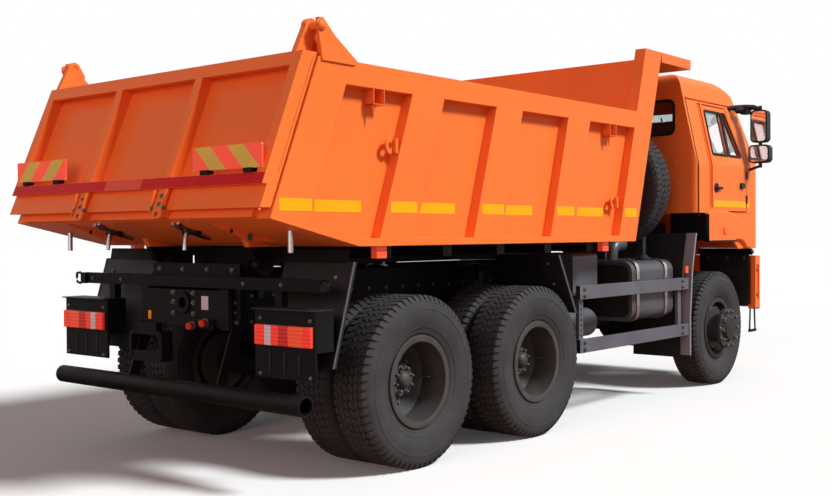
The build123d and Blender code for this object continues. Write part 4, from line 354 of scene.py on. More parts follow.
iron = surface(
    "cast_iron", (0.016, 0.016, 0.017), 0.62, vary=0.3, patch=9.0, grain=220.0, bump=0.25, soft=0.004,
    dust=0.1,
)
steel = surface("steel", (0.5, 0.5, 0.5), 0.28, 1.0, vary=0.12, patch=14.0, grain=500.0, bump=0.04)
bolt_steel = surface("bolt_steel", (0.16, 0.16, 0.165), 0.45, 0.7, vary=0.25, patch=40.0, bump=0.08)
rubber = surface(
    "tyre_rubber", (0.041, 0.0425, 0.0455), 0.72, vary=0.14, patch=7.0, grain=260.0, bump=0.12, dust=0.1,
    shine=0.18,
)
plastic = surface(
    "black_plastic", (0.012, 0.012, 0.013), 0.5, vary=0.2, patch=6.0, grain=420.0, bump=0.2, soft=0.003,
)
seal = surface("window_rubber", (0.009, 0.009, 0.009), 0.6, vary=0.2, patch=10.0, bump=0.1, shine=0.15)
clear = glass("window_glass", (0.72, 0.77, 0.78))
mirror = surface("mirror_glass", (0.82, 0.84, 0.85), 0.04, 1.0, vary=0.03, patch=8.0, grain=20.0, bump=0.01)
silver = surface("lamp_reflector", (0.75, 0.76, 0.78), 0.14, 1.0, vary=0.05, patch=20.0, bump=0.03)
cloth = woven("seat_fabric", (0.055, 0.057, 0.065), 0.004)
boards = striped("warning_stripes", (0.56, 0.38, 0.06), (1.0, 0.11, 0.06), 0.273, 0.458)
yellow = tape("yellow_tape", (1.0, 0.5, 0.012), (0.82, 0.34, 0.01))
crimson = tape("red_tape", (0.66, 0.012, 0.014), (0.5, 0.009, 0.01))
pale_red = tape("pale_tape", (0.85, 0.11, 0.07), (0.7, 0.09, 0.05))
# The last number of each lens is its painted glow, though the lamps are off.
red_lens = lens("red_lens", (1.0, 0.055, 0.025), 0.22)
dark_lens = lens("dark_red_lens", (0.6, 0.025, 0.014), 0.12)
amber_lens = lens("amber_lens", (0.95, 0.1, 0.035), 0.2)
white_lens = lens("white_lens", (0.7, 0.71, 0.74), 0.05)
coupling = surface("coupling_red", (0.6, 0.05, 0.02), 0.45, patch=30.0)
tag = surface("blank_tag", (0.6, 0.62, 0.7), 0.5, vary=0.06, patch=20.0)
# Flat near-black discs and patches that stand for holes and slots: painted shade in the openings.
hole_shade = surface("hole_painted_shade", (0.006, 0.006, 0.006), 0.9, vary=0.2, patch=20.0)

SLOT_LOOKS = {
    "orange_paint": paint, "black_paint": black, "grey_metal": grey, "cast_iron": iron, "steel": steel,
    "tyre": rubber, "black_plastic": plastic, "lamp_lens": amber_lens, "reflector": boards, "glass": clear,
    "seat_fabric": cloth,
}
NODE_LOOKS = {
    "fuel_tank": tank_skin, "spare_carrier": wheel_black, "bed_floor": floor_paint_shaded_below,
    "cab_fenders": fender_paint, "front_bumper": bumper_paint,
}
for part in frame["record"]["subparts"]:
    node = frame["nodes"][part["node"]]
    look = NODE_LOOKS.get(part["node"], SLOT_LOOKS[part["material_slot"]])
    if part["node"].startswith("rim"):
        look = wheel_black if "front" in part["node"] else rim_paint
    node.data.materials.clear()
    node.data.materials.append(look)


# Mesh pieces
SHARP = radians(35)
BEVEL_FROM = radians(40)


def circle(centre, axis, radius, sides, turn=0.0):
    basis = Vector(axis).to_track_quat("Z", "Y").to_matrix()
    angles = [turn + tau * i / sides for i in range(sides)]
    return [Vector(centre) + basis @ Vector((radius * cos(a), radius * sin(a), 0)) for a in angles]


def bends(points):
    """Each corner of a closed 2-D outline with the ways to it and from it."""
    points = [Vector(point) for point in points]
    for before, corner, after in zip(points[-1:] + points, points, points[1:] + points[:1]):
        yield corner, (corner - before).normalized(), (after - corner).normalized()


def rounded(points, radius, steps=5):
    """A closed 2-D outline with its corners rounded."""
    out = []
    for corner, come, go in bends(points):
        reach = radius / max(0.2, abs(tan((-come).angle(go) / 2)))
        start, end = corner - come * reach, corner + go * reach
        for t in [k / steps for k in range(steps + 1)]:
            out.append((1 - t) ** 2 * start + 2 * t * (1 - t) * corner + t * t * end)
    return out


def grown(points, amount):
    """A closed 2-D outline, given anticlockwise, moved outwards."""
    out = []
    for corner, come, go in bends(points):
        normal = Vector((come.y, -come.x))
        middle = (normal + Vector((go.y, -go.x))).normalized()
        out.append(corner + middle * (amount / max(0.3, middle.dot(normal))))
    return out


def rings(outline, outer, inner, steps):
    """Two rounded loops about an outline, each from its (growth, corner radius)."""
    return [rounded(grown(outline, amount), radius, steps) for amount, radius in (outer, inner)]


class Shape:
    """One piece, gathered from simple forms. A look not given is the slot's, or for a form the piece's."""

    def __init__(self, name, body, slot, bevel=0.0, look=None):
        self.name, self.body, self.slot, self.bevel = name, body, slot, bevel
        self.looks = [SLOT_LOOKS[slot] if look is None else look]
        self.bm = bmesh.new()

    def skin(self, loops, look=None, closed=False):
        """Faces from loop to loop, with end caps or closed into a ring."""
        look = self.looks[0] if look is None else look
        if look not in self.looks:
            self.looks.append(look)
        rows = [[self.bm.verts.new(point) for point in loop] for loop in loops]
        count = len(rows[0])
        faces = []
        for near, far in zip(rows, rows[1:] + ([rows[0]] if closed else [])):
            for i in range(count):
                j = (i + 1) % count
                faces.append(self.bm.faces.new((near[i], near[j], far[j], far[i])))
        if not closed:
            faces.append(self.bm.faces.new(rows[0][::-1]))
            faces.append(self.bm.faces.new(rows[-1]))
        for face in faces:
            face.material_index = self.looks.index(look)

    def box(self, stations, y, z, look=None):
        self.skin([layer(stations, y, height) for height in z], look)

    def prism(self, outline, push, look=None):
        self.skin([outline, [point + Vector(push) for point in outline]], look)

    def band(self, outer, inner, push, look=None):
        push = Vector(push)
        self.skin([outer, [p + push for p in outer], [p + push for p in inner], inner], look, closed=True)

    def rod(self, place, push, radius, look=None, sides=12, far=None):
        ends = ((place, radius), (place + Vector(push), radius if far is None else far))
        self.skin([circle(point, push, r, sides) for point, r in ends], look)

    def lathe(self, centre, axis, profile, look=None, sides=32, closed=False):
        """A turned form; its profile is (distance along the axis, radius) points."""
        axis = Vector(axis).normalized()
        loops = [circle(Vector(centre) + axis * reach, axis, radius, sides) for reach, radius in profile]
        self.skin(loops, look, closed)

    def tube(self, points, radius, look=None, sides=10):
        last = len(points) - 1
        ways = [points[min(i + 1, last)] - points[max(i - 1, 0)] for i in range(last + 1)]
        self.skin([circle(point, way, radius, sides) for point, way in zip(points, ways)], look)

    def nut(self, place, axis, radius, height):
        """A hexagon nut on its washer, with the bolt's end."""
        axis = Vector(axis).normalized()
        self.rod(place, axis * height * 0.25, radius * 1.35, bolt_steel, 14)
        self.rod(place, axis * height, radius, bolt_steel, 6)
        self.rod(place, axis * height * 1.3, radius * 0.5, bolt_steel, 10)

    def nuts(self, stations, ys, zs, *rest):
        """A nut at each crossing of the stations, y and z."""
        for place in product(stations, ys, zs):
            self.nut(at(*place), *rest)

    def mesh(self):
        bmesh.ops.recalc_face_normals(self.bm, faces=self.bm.faces)
        mesh = bpy.data.meshes.new(self.name)
        self.bm.to_mesh(mesh)
        self.bm.free()
        for look in self.looks:
            mesh.materials.append(look)
        mesh.shade_smooth()
        mesh.set_sharp_from_angle(angle=SHARP)
        return mesh

    def done(self):
        return put(self.name, self.mesh(), self.body, self.bevel)


def link(name, data):
    """A new object in the scene."""
    obj = bpy.data.objects.new(name, data)
    scene.collection.objects.link(obj)
    return obj


def put(name, mesh, body, bevel=0.0, place=None):
    """Make an object of a mesh, soften its edges and let it ride on a body."""
    obj = link(name, mesh)
    if place is not None:
        obj.matrix_world = place
    if bevel:
        edges = obj.modifiers.new("edges", "BEVEL")
        edges.width = bevel
        edges.segments = 2
        edges.limit_method = "ANGLE"
        edges.angle_limit = BEVEL_FROM
    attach(obj, body)
    return obj


# Tyres, about the y axis
TYRE_R = 0.541
TREAD_R = 0.529
SIDES_ROUND = 108
PITCHES = 66
TWIN_Y = 0.16
TREAD_ROWS = (
    # section of (y, radius) points, share of the pitch, start within the pitch, slant
    (((0.084, 0.522), (0.084, TYRE_R), (0.113, TYRE_R), (0.1305, 0.5215), (0.139, 0.5), (0.127, 0.5),
      (0.117, 0.518)), 0.66, 0.0, 0.3),
    (((0.046, 0.522), (0.046, TYRE_R), (0.078, TYRE_R), (0.078, 0.522)), 0.8, 0.35, 1.0),
    (((0.004, 0.522), (0.004, TYRE_R), (0.04, TYRE_R), (0.04, 0.522)), 0.8, 0.6, -1.0),
)
# Half width at the radius of bead, widest place and shoulder
WALL_KNOTS = ((0.2925, 0.105), (0.41, 0.1455), (0.517, 0.131))
WALL_RADII = (
    0.2925, 0.301, 0.303, 0.314, 0.316, 0.3375, 0.339, 0.344, 0.3455, 0.37, 0.39, 0.41, 0.43, 0.4525, 0.454,
    0.4625, 0.464, 0.485, 0.503,
)
WALL_RIBS = {0.303: 0.003, 0.314: 0.003, 0.339: 0.002, 0.344: 0.002, 0.454: 0.002, 0.4625: 0.002}
BEAD_FOOT = (0.105, 0.268)
TREAD_EDGE = ((0.129, 0.511), (0.112, TREAD_R))


def wall_y(radius):
    """Half width of the sidewall at a radius, on the curve through its knots."""
    total = 0.0
    for i, (r_i, y_i) in enumerate(WALL_KNOTS):
        for j, (r_j, _) in enumerate(WALL_KNOTS):
            if i != j:
                y_i *= (radius - r_j) / (r_i - r_j)
        total += y_i
    return total


def tread_loop(centre, sign, section, turn, slant):
    """The section of a tread block at a turn about the axle."""
    turned = [(y, r, turn + sign * slant * y) for y, r in section]
    return [centre + Vector((r * cos(a), sign * y, r * sin(a))) for y, r, a in turned]


def tyre_mesh(offsets):
    """Treaded tyres at the given distances along the axle."""
    shape = Shape("treaded_tyre", "chassis", "tyre")
    wall = [(wall_y(r) + WALL_RIBS.get(r, 0.0), r) for r in WALL_RADII]
    half = [BEAD_FOOT, *wall, *TREAD_EDGE]
    profile = half + [(0.0, TREAD_R)] + [(-y, r) for y, r in reversed(half)]
    pitch = tau / PITCHES
    for offset in offsets:
        centre = Vector((0, offset, 0))
        shape.lathe(centre, (0, 1, 0), profile, sides=SIDES_ROUND, closed=True)
        for section, share, start, slant in TREAD_ROWS:
            for sign in (1, -1):
                for block in range(PITCHES):
                    first = pitch * (block + start + (0.5 if sign < 0 else 0.0))
                    turns = [first + pitch * share * step for step in (0.0, 0.5, 1.0)]
                    shape.skin([tread_loop(centre, sign, section, turn, slant) for turn in turns])
    return shape.mesh()


single_tyre = tyre_mesh((0.0,))
twin_tyres = tyre_mesh((-TWIN_Y, TWIN_Y))
bodies = frame["record"]["behaviour"]["bodies"]
for node in frame["nodes"]:
    if "tyre" in node:
        low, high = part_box(node)
        turn = Matrix.Rotation(radians(90 if node == "spare_tyre" else 0), 4, "Z")
        mesh = twin_tyres if node.startswith("tyres") else single_tyre
        body = next(name for name, nodes in bodies.items() if node in nodes)
        tyre = put(f"treaded_{node}", mesh, body, 0.0, Matrix.Translation((low + high) / 2) @ turn)
        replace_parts(tyre, node)

# Wheel nuts and hub caps
REAR_DISC_Y = 0.944
REAR_CAP_Y = 1.058
RIM_EDGE_Y = 1.2085
VALVE_Y = 1.02
FRONT_PLATE_Y = 1.188
STUDS, STUD_RING = 10, 0.167
REAR_CAP = ((0, 0.058), (0.02, 0.055), (0.038, 0.04), (0.046, 0.02), (0.047, 0.001))
RIM_EDGE = ((-0.012, 0.252), (0.001, 0.254), (0.002, 0.288), (-0.012, 0.2905))
FRONT_CAP = ((0, 0.128), (0.012, 0.125), (0.02, 0.112), (0.034, 0.106), (0.036, 0.001))
for side, sign in SIDES:
    out = Vector((0, sign, 0))
    for axle, station in (("rear", 0.0), ("mid", MID_AXLE)):
        hub = Shape(f"hub_{axle}_{side}", f"wheels_{axle}_{side}", "steel", 0.0015, bolt_steel)
        for place in circle(at(station, sign * REAR_DISC_Y, AXLE_Z), out, STUD_RING, STUDS):
            hub.nut(place, out, 0.018, 0.034)
        face = at(station, sign * REAR_CAP_Y, AXLE_Z)
        for place in circle(face, out, 0.078, 8, 0.3):
            hub.nut(place, out, 0.011, 0.026)
        hub.lathe(face, out, REAR_CAP, rim_paint, 24)
        hub.lathe(at(station, sign * RIM_EDGE_Y, AXLE_Z), out, RIM_EDGE, rim_paint, 64, closed=True)
        hub.rod(at(station + 0.21, sign * VALVE_Y, AXLE_Z), (0.01, sign * 0.09, 0), 0.006, sides=8)
        hub.done()
    hub = Shape(f"hub_front_{side}", f"wheel_front_{side}", "steel", 0.0015, bolt_steel)
    face = at(FRONT_AXLE, sign * FRONT_PLATE_Y, AXLE_Z)
    for place in circle(face, out, STUD_RING, STUDS):
        hub.nut(place, out, 0.018, 0.03)
    hub.lathe(face, out, FRONT_CAP, iron)
    for place in circle(face + out * 0.018, out, 0.117, 8, 0.2):
        hub.nut(place, out, 0.008, 0.01)
    hub.done()

# Reflective tape on the bed
TAPE_Z = (1.59, 1.658)
TAPES = (
    # rear station, front station, face
    (-1.225, -0.98, BED_OUT), (-0.895, -0.508, PANEL_OUT), (-0.322, -0.075, BED_OUT),
    (0.004, 0.391, PANEL_OUT), (0.598, 0.848, BED_OUT), (0.919, 1.299, PANEL_OUT),
    (1.522, 1.758, BED_OUT), (1.9, 2.3, PANEL_OUT), (2.53, 2.73, BED_OUT),
)
for side, sign in SIDES:
    strips = Shape(f"bed_tape_{side}", "bed", "reflector", look=yellow)
    for rear, front, face in TAPES:
        strips.box((rear, front), span(sign, face - 0.001, face + 0.0015), TAPE_Z)
    strips.done()

# Hooks and rings of the bed sides, and the ears on which the tailgate hangs
HOOKS = (-0.47, 2.3)
HOOK_WIDTH, HOOK_PLATE = 0.1, 0.008
HOOK_Z = (2.22, 2.316)
RINGS = ((-0.262, 1.99), (2.42, 1.7))
RING = ((-0.006, 0.022), (0.006, 0.022), (0.006, 0.05), (-0.006, 0.05))
BED_EAR = (
    (-0.9, 2.425), (-0.633, 2.425), (-0.608, 2.448), (-0.885, 2.636), (-0.9, 2.648), (-0.925, 2.652),
    (-0.94, 2.64),
)
GATE_EAR = ((-0.97, 2.44), (-0.822, 2.44), (-0.822, 2.58), (-0.86, 2.64), (-0.92, 2.645))
GATE_EAR_Y = 1.15
EAR_PLATE = 0.012
PIVOT = (-0.906, 2.618)
PIVOT_DOME = ((0, 0.03), (0.008, 0.029), (0.016, 0.02), (0.019, 0.001))
for side, sign in SIDES:
    hooks = Shape(f"bed_hooks_{side}", "bed", "orange_paint", 0.003)
    y = span(sign, PANEL_OUT, BED_OUT + 0.002)
    for rear in HOOKS:
        front = rear + HOOK_WIDTH
        hooks.box((rear, front), y, (HOOK_Z[0], HOOK_Z[0] + HOOK_PLATE))
        hooks.box((rear, rear + HOOK_PLATE), y, HOOK_Z)
        hooks.box((front - HOOK_PLATE, front), y, HOOK_Z)
        tip = at(rear + 0.02, sign * (BED_OUT - 0.02), HOOK_Z[0] + 0.002)
        hooks.rod(tip, (0, 0, -0.075), 0.012, sides=10, far=0.004)
    for station, z in RINGS:
        centre = at(station - 0.035, sign * (BED_OUT - 0.03), z)
        hooks.lathe(centre, (0.25, sign, 0), RING, sides=20, closed=True)
        y = span(sign, BED_OUT - 0.055, BED_OUT - 0.005)
        hooks.box((station - 0.005, station + 0.02), y, about(z, 0.045))
    hooks.done()
    pin = Shape(f"gate_pivot_{side}", "bed", "orange_paint", 0.003)
    pin.prism(along(sign * (BED_OUT - 0.002), BED_EAR), (0, sign * EAR_PLATE, 0))
    pin.lathe(at(PIVOT[0], sign * (BED_OUT + 0.01), PIVOT[1]), (0, sign, 0), PIVOT_DOME, sides=20)
    pin.done()
    cover = Shape(f"gate_ear_cover_{side}", "gate", "orange_paint", 0.002)
    cover.prism(along(sign * GATE_EAR_Y, GATE_EAR), (0, sign * EAR_PLATE, 0))
    cover.done()

# Tailgate: tape, upright marker boards, stitch of weld beads and locks
GATE_TAPE_Z = (1.734, 1.794)
GATE_TAPES = (((-1.235, -0.18), crimson), ((-0.18, 0.18), pale_red), ((0.18, 1.235), crimson))
strip = Shape("gate_tape", "gate", "reflector", look=crimson)
for y, look in GATE_TAPES:
    strip.skin([layer((gate_face(z) - 0.0015, gate_face(z) + 0.001), y, z) for z in GATE_TAPE_Z], look)
strip.done()
BOARD_Y = (0.637, 1.21)
BOARD_Z = (1.82, 1.95)
BOARD_FEET = (0.74, 1.1)
FOOT_Z = (1.796, 1.822)
for side, sign in SIDES:
    board = Shape(f"marker_board_{side}", "gate", "reflector", 0.001)
    station = gate_face(BOARD_Z[0]) - 0.005
    board.box(about(station, 0.005), span(sign, *BOARD_Y), BOARD_Z)
    for y in BOARD_FEET:
        board.box((station - 0.012, station + 0.03), span(sign, *about(y, 0.035)), FOOT_Z, black)
    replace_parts(board.done(), "marker_boards")
BEADS, BEAD_LOW, BEAD_PITCH = 44, 1.8, 0.0148
beads = Shape("gate_weld_beads", "gate", "orange_paint")
for sign in (1, -1):
    for step in range(BEADS):
        z = BEAD_LOW + step * BEAD_PITCH
        beads.rod(at(rear_edge(z) - 0.03, sign * 1.238, z), (0, sign * 0.004, 0), 0.0045, sides=6, far=0.003)
beads.done()
LOCK_Y = 0.395
LOCK_PIN_Z = 1.62
# z and distance behind the bed's rear edge
LOCK_CHEEK = ((1.56, 0.1), (1.6, 0.122), (1.72, 0.14), (1.732, 0.1))
locks = Shape("gate_locks", "gate", "orange_paint", 0.002)
for sign in (1, -1):
    for cheek in (-1, 1):
        y = sign * LOCK_Y + cheek * 0.052
        locks.prism([at(rear_edge(z) - depth, y - 0.004, z) for z, depth in LOCK_CHEEK], (0, 0.008, 0))
        locks.rod(at(rear_edge(LOCK_PIN_Z) - 0.113, y - 0.007, LOCK_PIN_Z), (0, 0.014, 0), 0.013, bolt_steel)
    for z in (1.64, 1.69):
        locks.nut(at(rear_edge(z) - 0.108, sign * LOCK_Y, z), (-1, 0, REAR_LEAN), 0.011, 0.012)
locks.done()
LEVERS = (
    # radius, points of station, y from the lock and z
    (0.011, ((-1.24, 0.03, 1.532), (-1.16, 0.1, 1.512), (-1.0, 0.14, 1.47), (-0.86, 0.16, 1.438))),
    (0.009, ((-1.25, -0.03, 1.534), (-1.13, 0.06, 1.5), (-0.98, 0.09, 1.468))),
    (0.013, ((-1.03, 0.17, 1.48), (-1.04, 0.17, 1.44), (-1.05, 0.165, 1.37))),
)
levers = Shape("gate_levers", "bed", "steel", 0.0015)
for sign in (1, -1):
    y = sign * LOCK_Y
    for radius, points in LEVERS:
        levers.tube([at(s, y + aside, z) for s, aside, z in points], radius)
    levers.rod(at(-1.03, y + 0.05, 1.478), (0, 0.15, 0), 0.014, black, 16)
    levers.rod(at(-0.99, sign * 1.09, 1.49), (0, 0, -0.13), 0.016)
levers.done()

# Gusset plates under the sloping floor
GUSSET_Y = (-0.7, 0.7)
GUSSET = ((-1.28, 1.545), (-0.97, 1.428), (-0.72, 1.415), (-0.74, 1.426))
GUSSET_HALF = 0.006
gussets = Shape("floor_gussets", "bed", "orange_paint", 0.002)
for y in GUSSET_Y:
    gussets.prism(along(y - GUSSET_HALF, GUSSET), (0, 2 * GUSSET_HALF, 0))
    # Each gusset's hole is a flat black disc on both faces: painted shade in the opening.
    for sign in (-1, 1):
        face = y + sign * GUSSET_HALF
        gussets.rod(at(-1.09, face + sign * 0.0002, 1.485), (0, sign * 0.001, 0), 0.012, hole_shade, 18)
        gussets.nut(at(-0.95, face, 1.449), (0, sign, 0), 0.015, 0.012)
gussets.done()

# Strip that closes the gap between tailgate and floor
SEAL_Y = (-1.14, 1.14)
SEAL_Z = (1.556, 1.612)
sill = Shape("gate_seal", "gate", "orange_paint", 0.002)
sill.skin([layer((rear_edge(z) - 0.04, rear_edge(z) - 0.004), SEAL_Y, z) for z in SEAL_Z])
sill.done()

# Plates between the chassis and the bed
END_PLATE_X = -0.79
SIDE_PLATE = ((-0.612, 1.295), (-0.598, 1.372))
INNER_PLATES = ((-0.66, -0.44), (-0.335, 0.335), (0.44, 0.66))
PLATE = 0.008
plates = Shape("subframe_plates", "chassis", "black_paint", 0.002)
plates.box((END_PLATE_X, END_PLATE_X + PLATE), (-RAIL_OUT, RAIL_OUT), (1.13, 1.285))
plates.nuts([END_PLATE_X], (-0.36, -0.12, 0.12, 0.36), [1.245], REARWARD, 0.012, 0.012)
for sign in (1, -1):
    plates.skin([layer(about(s, PLATE / 2), (sign * 0.54, sign * 1.17), z) for s, z in SIDE_PLATE])
for y in INNER_PLATES:
    plates.box((-0.46, -0.46 + PLATE), y, (1.2, 1.38))
plates.done()

# Rear lamps and the trim of their boxes
LAMP_X, LAMP_Y, LAMP_Z = (-0.968, -0.94), (0.752, 1.222), (0.826, 0.95)
LAMP_BASE, LAMP_RIM, LAMP_GAP = 0.008, 0.004, 0.0008
SEGMENTS = (
    # share of the lamp's length from its inner end, lens
    (0.18, red_lens), (0.12, white_lens), (0.13, red_lens), (0.17, dark_lens), (0.25, amber_lens),
    (0.15, red_lens),
)
for side, sign in SIDES:
    lamp = Shape(f"tail_lamp_{side}", "chassis", "lamp_lens", 0.003, red_lens)
    lamp.box((LAMP_X[1] - LAMP_BASE, LAMP_X[1]), span(sign, *LAMP_Y), LAMP_Z, plastic)
    start = LAMP_Y[0] + LAMP_RIM
    for share, look in SEGMENTS:
        end = start + share * (LAMP_Y[1] - LAMP_Y[0] - 2 * LAMP_RIM)
        y = span(sign, start + LAMP_GAP, end - LAMP_GAP)
        lamp.box((LAMP_X[0], LAMP_X[1] - LAMP_BASE), y, (LAMP_Z[0] + LAMP_RIM, LAMP_Z[1] - LAMP_RIM), look)
        start = end
    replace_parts(lamp.done(), "tail_lamps")
    hood = Shape(f"lamp_box_trim_{side}", "chassis", "black_plastic", 0.002)
    hood.box((-0.972, -0.8), span(sign, 0.73, 1.2275), (1.032, 1.04))
    hood.nuts([LAMP_X[1]], span(sign, 0.78, 1.19), (0.66, 0.98), REARWARD, 0.009, 0.01)
    for y in (0.86, 0.98, 1.1):
        hood.box((LAMP_X[1] - 0.004, LAMP_X[1]), span(sign, *about(y, 0.006)), (0.66, 0.79))
    hood.done()

# Rear crossmember: tow ring, bolts, drilled holes, loops, couplings, blank tags and bracket
TAIL_X = -0.88
BEAM_X = -0.84
TOW_RING = ((0, 0.034), (0.014, 0.036), (0.014, 0.066), (0.0, 0.07))
BEAM_LOOP = (
    (1.16, 1.19), (1.2, 1.205), (1.236, 1.2), (1.24, 1.17), (1.236, 1.14), (1.2, 1.13), (1.16, 1.145),
)
PORT_X = -0.9
PORTS = ((-0.125, 0.905), (-0.25, 0.928))
PORT_CAP = ((0.026, 0.02), (0.032, 0.024), (0.056, 0.024), (0.064, 0.018), (0.066, 0.001))
PORT_COLLAR = ((0.012, 0.017), (0.014, 0.027), (0.024, 0.027), (0.026, 0.017))
BRACKET_X = -0.95
BRACKET_OUTER = rounded(oblong((0.14, 0.48), (0.65, 0.85)), 0.04)
BRACKET_INNER = rounded(oblong((0.165, 0.455), (0.675, 0.825)), 0.03)
tail = Shape("rear_fittings", "chassis", "black_paint", 0.002)
tail.lathe(at(TAIL_X, 0.0, 1.037), REARWARD, TOW_RING, sides=28, closed=True)
tail.nuts([TAIL_X], (-0.1, 0.1), (0.97, 1.04, 1.1), REARWARD, 0.012, 0.014)
# Drilled holes drawn as flat black discs: painted shade in the openings.
for y in (-0.36, -0.27, 0.2, 0.29, 0.38):
    for z in (0.94, 1.08):
        tail.rod(at(TAIL_X - 0.0003, y, z), (-0.0007, 0, 0), 0.013, hole_shade, 14)
# Slots in the beam drawn as flat black patches: painted shade in the openings.
for y in (-0.95, -0.62, 0.62, 0.95):
    tail.box((BEAM_X - 0.0007, BEAM_X), about(y, 0.018), (1.15, 1.186), hole_shade)
    tail.nut(at(BEAM_X, y + 0.1, 1.168), REARWARD, 0.009, 0.01)
for sign in (1, -1):
    tail.tube(across(BEAM_X - 0.005, BEAM_LOOP, sign), 0.009)
    tail.box((-0.856, -0.832), span(sign, 1.12, 1.178), (1.13, 1.205))
tail.box((PORT_X, TAIL_X), (-0.31, -0.06), (0.885, 0.945))
way = Vector((-1, -0.25, -0.1)).normalized()
for y, z in PORTS:
    mount = at(PORT_X, y, z)
    tail.rod(mount, way * 0.03, 0.016, bolt_steel, 16)
    tail.lathe(mount, way, PORT_CAP, coupling, 20)
    tail.lathe(mount, way, PORT_COLLAR, grey, 20, closed=True)
tail.box((TAIL_X - 0.0022, TAIL_X), (-0.24, -0.175), (1.0, 1.085), tag)
tail.box((TAIL_X - 0.0022, TAIL_X), (0.335, 0.365), (0.92, 0.975), yellow)
tail.band(across(BRACKET_X, BRACKET_OUTER), across(BRACKET_X, BRACKET_INNER), (0.09, 0, 0))
tail.box((-0.945, -0.935), (0.165, 0.455), (0.67, 0.72))
tail.box((-0.93, TAIL_X), (0.22, 0.4), (0.84, 0.9))
for sign in (1, -1):
    tail.nuts([-0.83], [sign * 0.442], (0.93, 0.99, 1.05), (0, sign, 0), 0.012, 0.014)
tail.done()

# Frame rails: bolt rows
RAIL_BOLTS = [-0.7 + 0.18 * step for step in range(34)]
for side, sign in SIDES:
    rivets = Shape(f"rail_bolts_{side}", "chassis", "steel", look=bolt_steel)
    rivets.nuts(RAIL_BOLTS, [sign * RAIL_OUT], (0.925, 1.085), (0, sign, 0), 0.009, 0.009)
    rivets.done()

# Mudguards: edges, bolts and the pale strip of the front one
FLAP_OUT = 1.213
FLAPS = (
    # station and z of the top, station and z of the foot
    ((-0.61, 1.3), (-0.79, 0.7)),
    ((1.595, 1.3), (1.83, 0.86)),
)
FRONT_STRIP = ((3.93, 1.455), (3.846, 1.123), (3.803, 0.702), (3.803, 0.36))
STRIP_FORM = ((-0.004, 1.115), (-0.004, 1.207), (0.022, 1.207), (0.022, 1.2), (0.001, 1.2), (0.001, 1.115))
for side, sign in SIDES:
    trims = Shape(f"mudguard_edges_{side}", "chassis", "grey_metal", 0.001)
    for top, foot in FLAPS:
        corners = ((top, -0.004), (top, 0.008), (foot, 0.008), (foot, -0.004))
        edge = along(sign * FLAP_OUT, [(end[0] + shift, end[1]) for end, shift in corners])
        trims.prism(edge, (0, sign * 0.008, 0))
        for share in (0.15, 0.5, 0.85):
            station, z = Vector(top).lerp(Vector(foot), share)
            trims.nut(at(station - 0.002, sign * 1.1, z), (-1, 0, 0.2), 0.01, 0.01)
    rows = [[at(s + shift, sign * y, z) for shift, y in STRIP_FORM] for s, z in FRONT_STRIP]
    trims.skin(rows, pale_grey)
    trims.done()

# Side guards: bolts, drilled rear post, end plugs and marker lamp
GUARD_OUT = 1.2
GUARD_POSTS = (1.99, 3.67)
GUARD_RAILS = (0.543, 0.954)
GUARD_ENDS = (1.925, 3.79)
POST_HOLES, HOLE_LOW, HOLE_PITCH = 7, 0.675, 0.04
for side, sign in SIDES:
    guard = Shape(f"guard_bolts_{side}", "chassis", "steel", 0.001, bolt_steel)
    heights = [low + up for low in GUARD_RAILS for up in (0.026, 0.078)]
    guard.nuts(GUARD_POSTS, [sign * GUARD_OUT], heights, (0, sign, 0), 0.013, 0.014)
    # The rear post's holes are flat black discs: painted shade in the openings.
    for step in range(POST_HOLES):
        back = at(GUARD_POSTS[0], sign * 1.1682, HOLE_LOW + step * HOLE_PITCH)
        guard.rod(back, (0, sign * 0.0006, 0), 0.009, hole_shade)
    for low in GUARD_RAILS:
        for station in GUARD_ENDS:
            guard.box(about(station, 0.001), span(sign, 1.17, 1.198), (low + 0.002, low + 0.102), plastic)
    guard.box((3.71, 3.76), span(sign, GUARD_OUT, 1.212), (1.1, 1.16), amber_lens)
    guard.box((3.725, 3.745), span(sign, 1.19, GUARD_OUT), (1.05, 1.16), plastic)
    guard.done()

# Fuel tank: straps, cap and end
TANK = oblong((-1.137, -0.553), (0.715, 1.229))
TANK_END = rounded(oblong((-1.1, -0.59), (0.75, 1.19)), 0.07, 6)
TANK_CAP = ((0, 0.07), (0.03, 0.07), (0.034, 0.064), (0.034, 0.048), (0.052, 0.044), (0.054, 0.001))
STRAPS, STRAP_WIDTH = (2.942, 3.452), 0.044
straps = Shape("tank_straps", "chassis", "steel", 0.001)
for station in STRAPS:
    loops = rings(TANK, (0.0025, 0.098), (-0.001, 0.096), 8)
    straps.band(*[across(station, loop) for loop in loops], (STRAP_WIDTH, 0, 0))
    straps.nut(at(station + STRAP_WIDTH / 2, -1.139, 1.06), (0, -1, 0), 0.012, 0.016)
straps.lathe(at(3.3, -1.0, 1.215), (0, 0, 1), TANK_CAP, plastic, 28)
straps.prism(across(2.87, TANK_END), (-0.006, 0, 0), plastic)
straps.done()

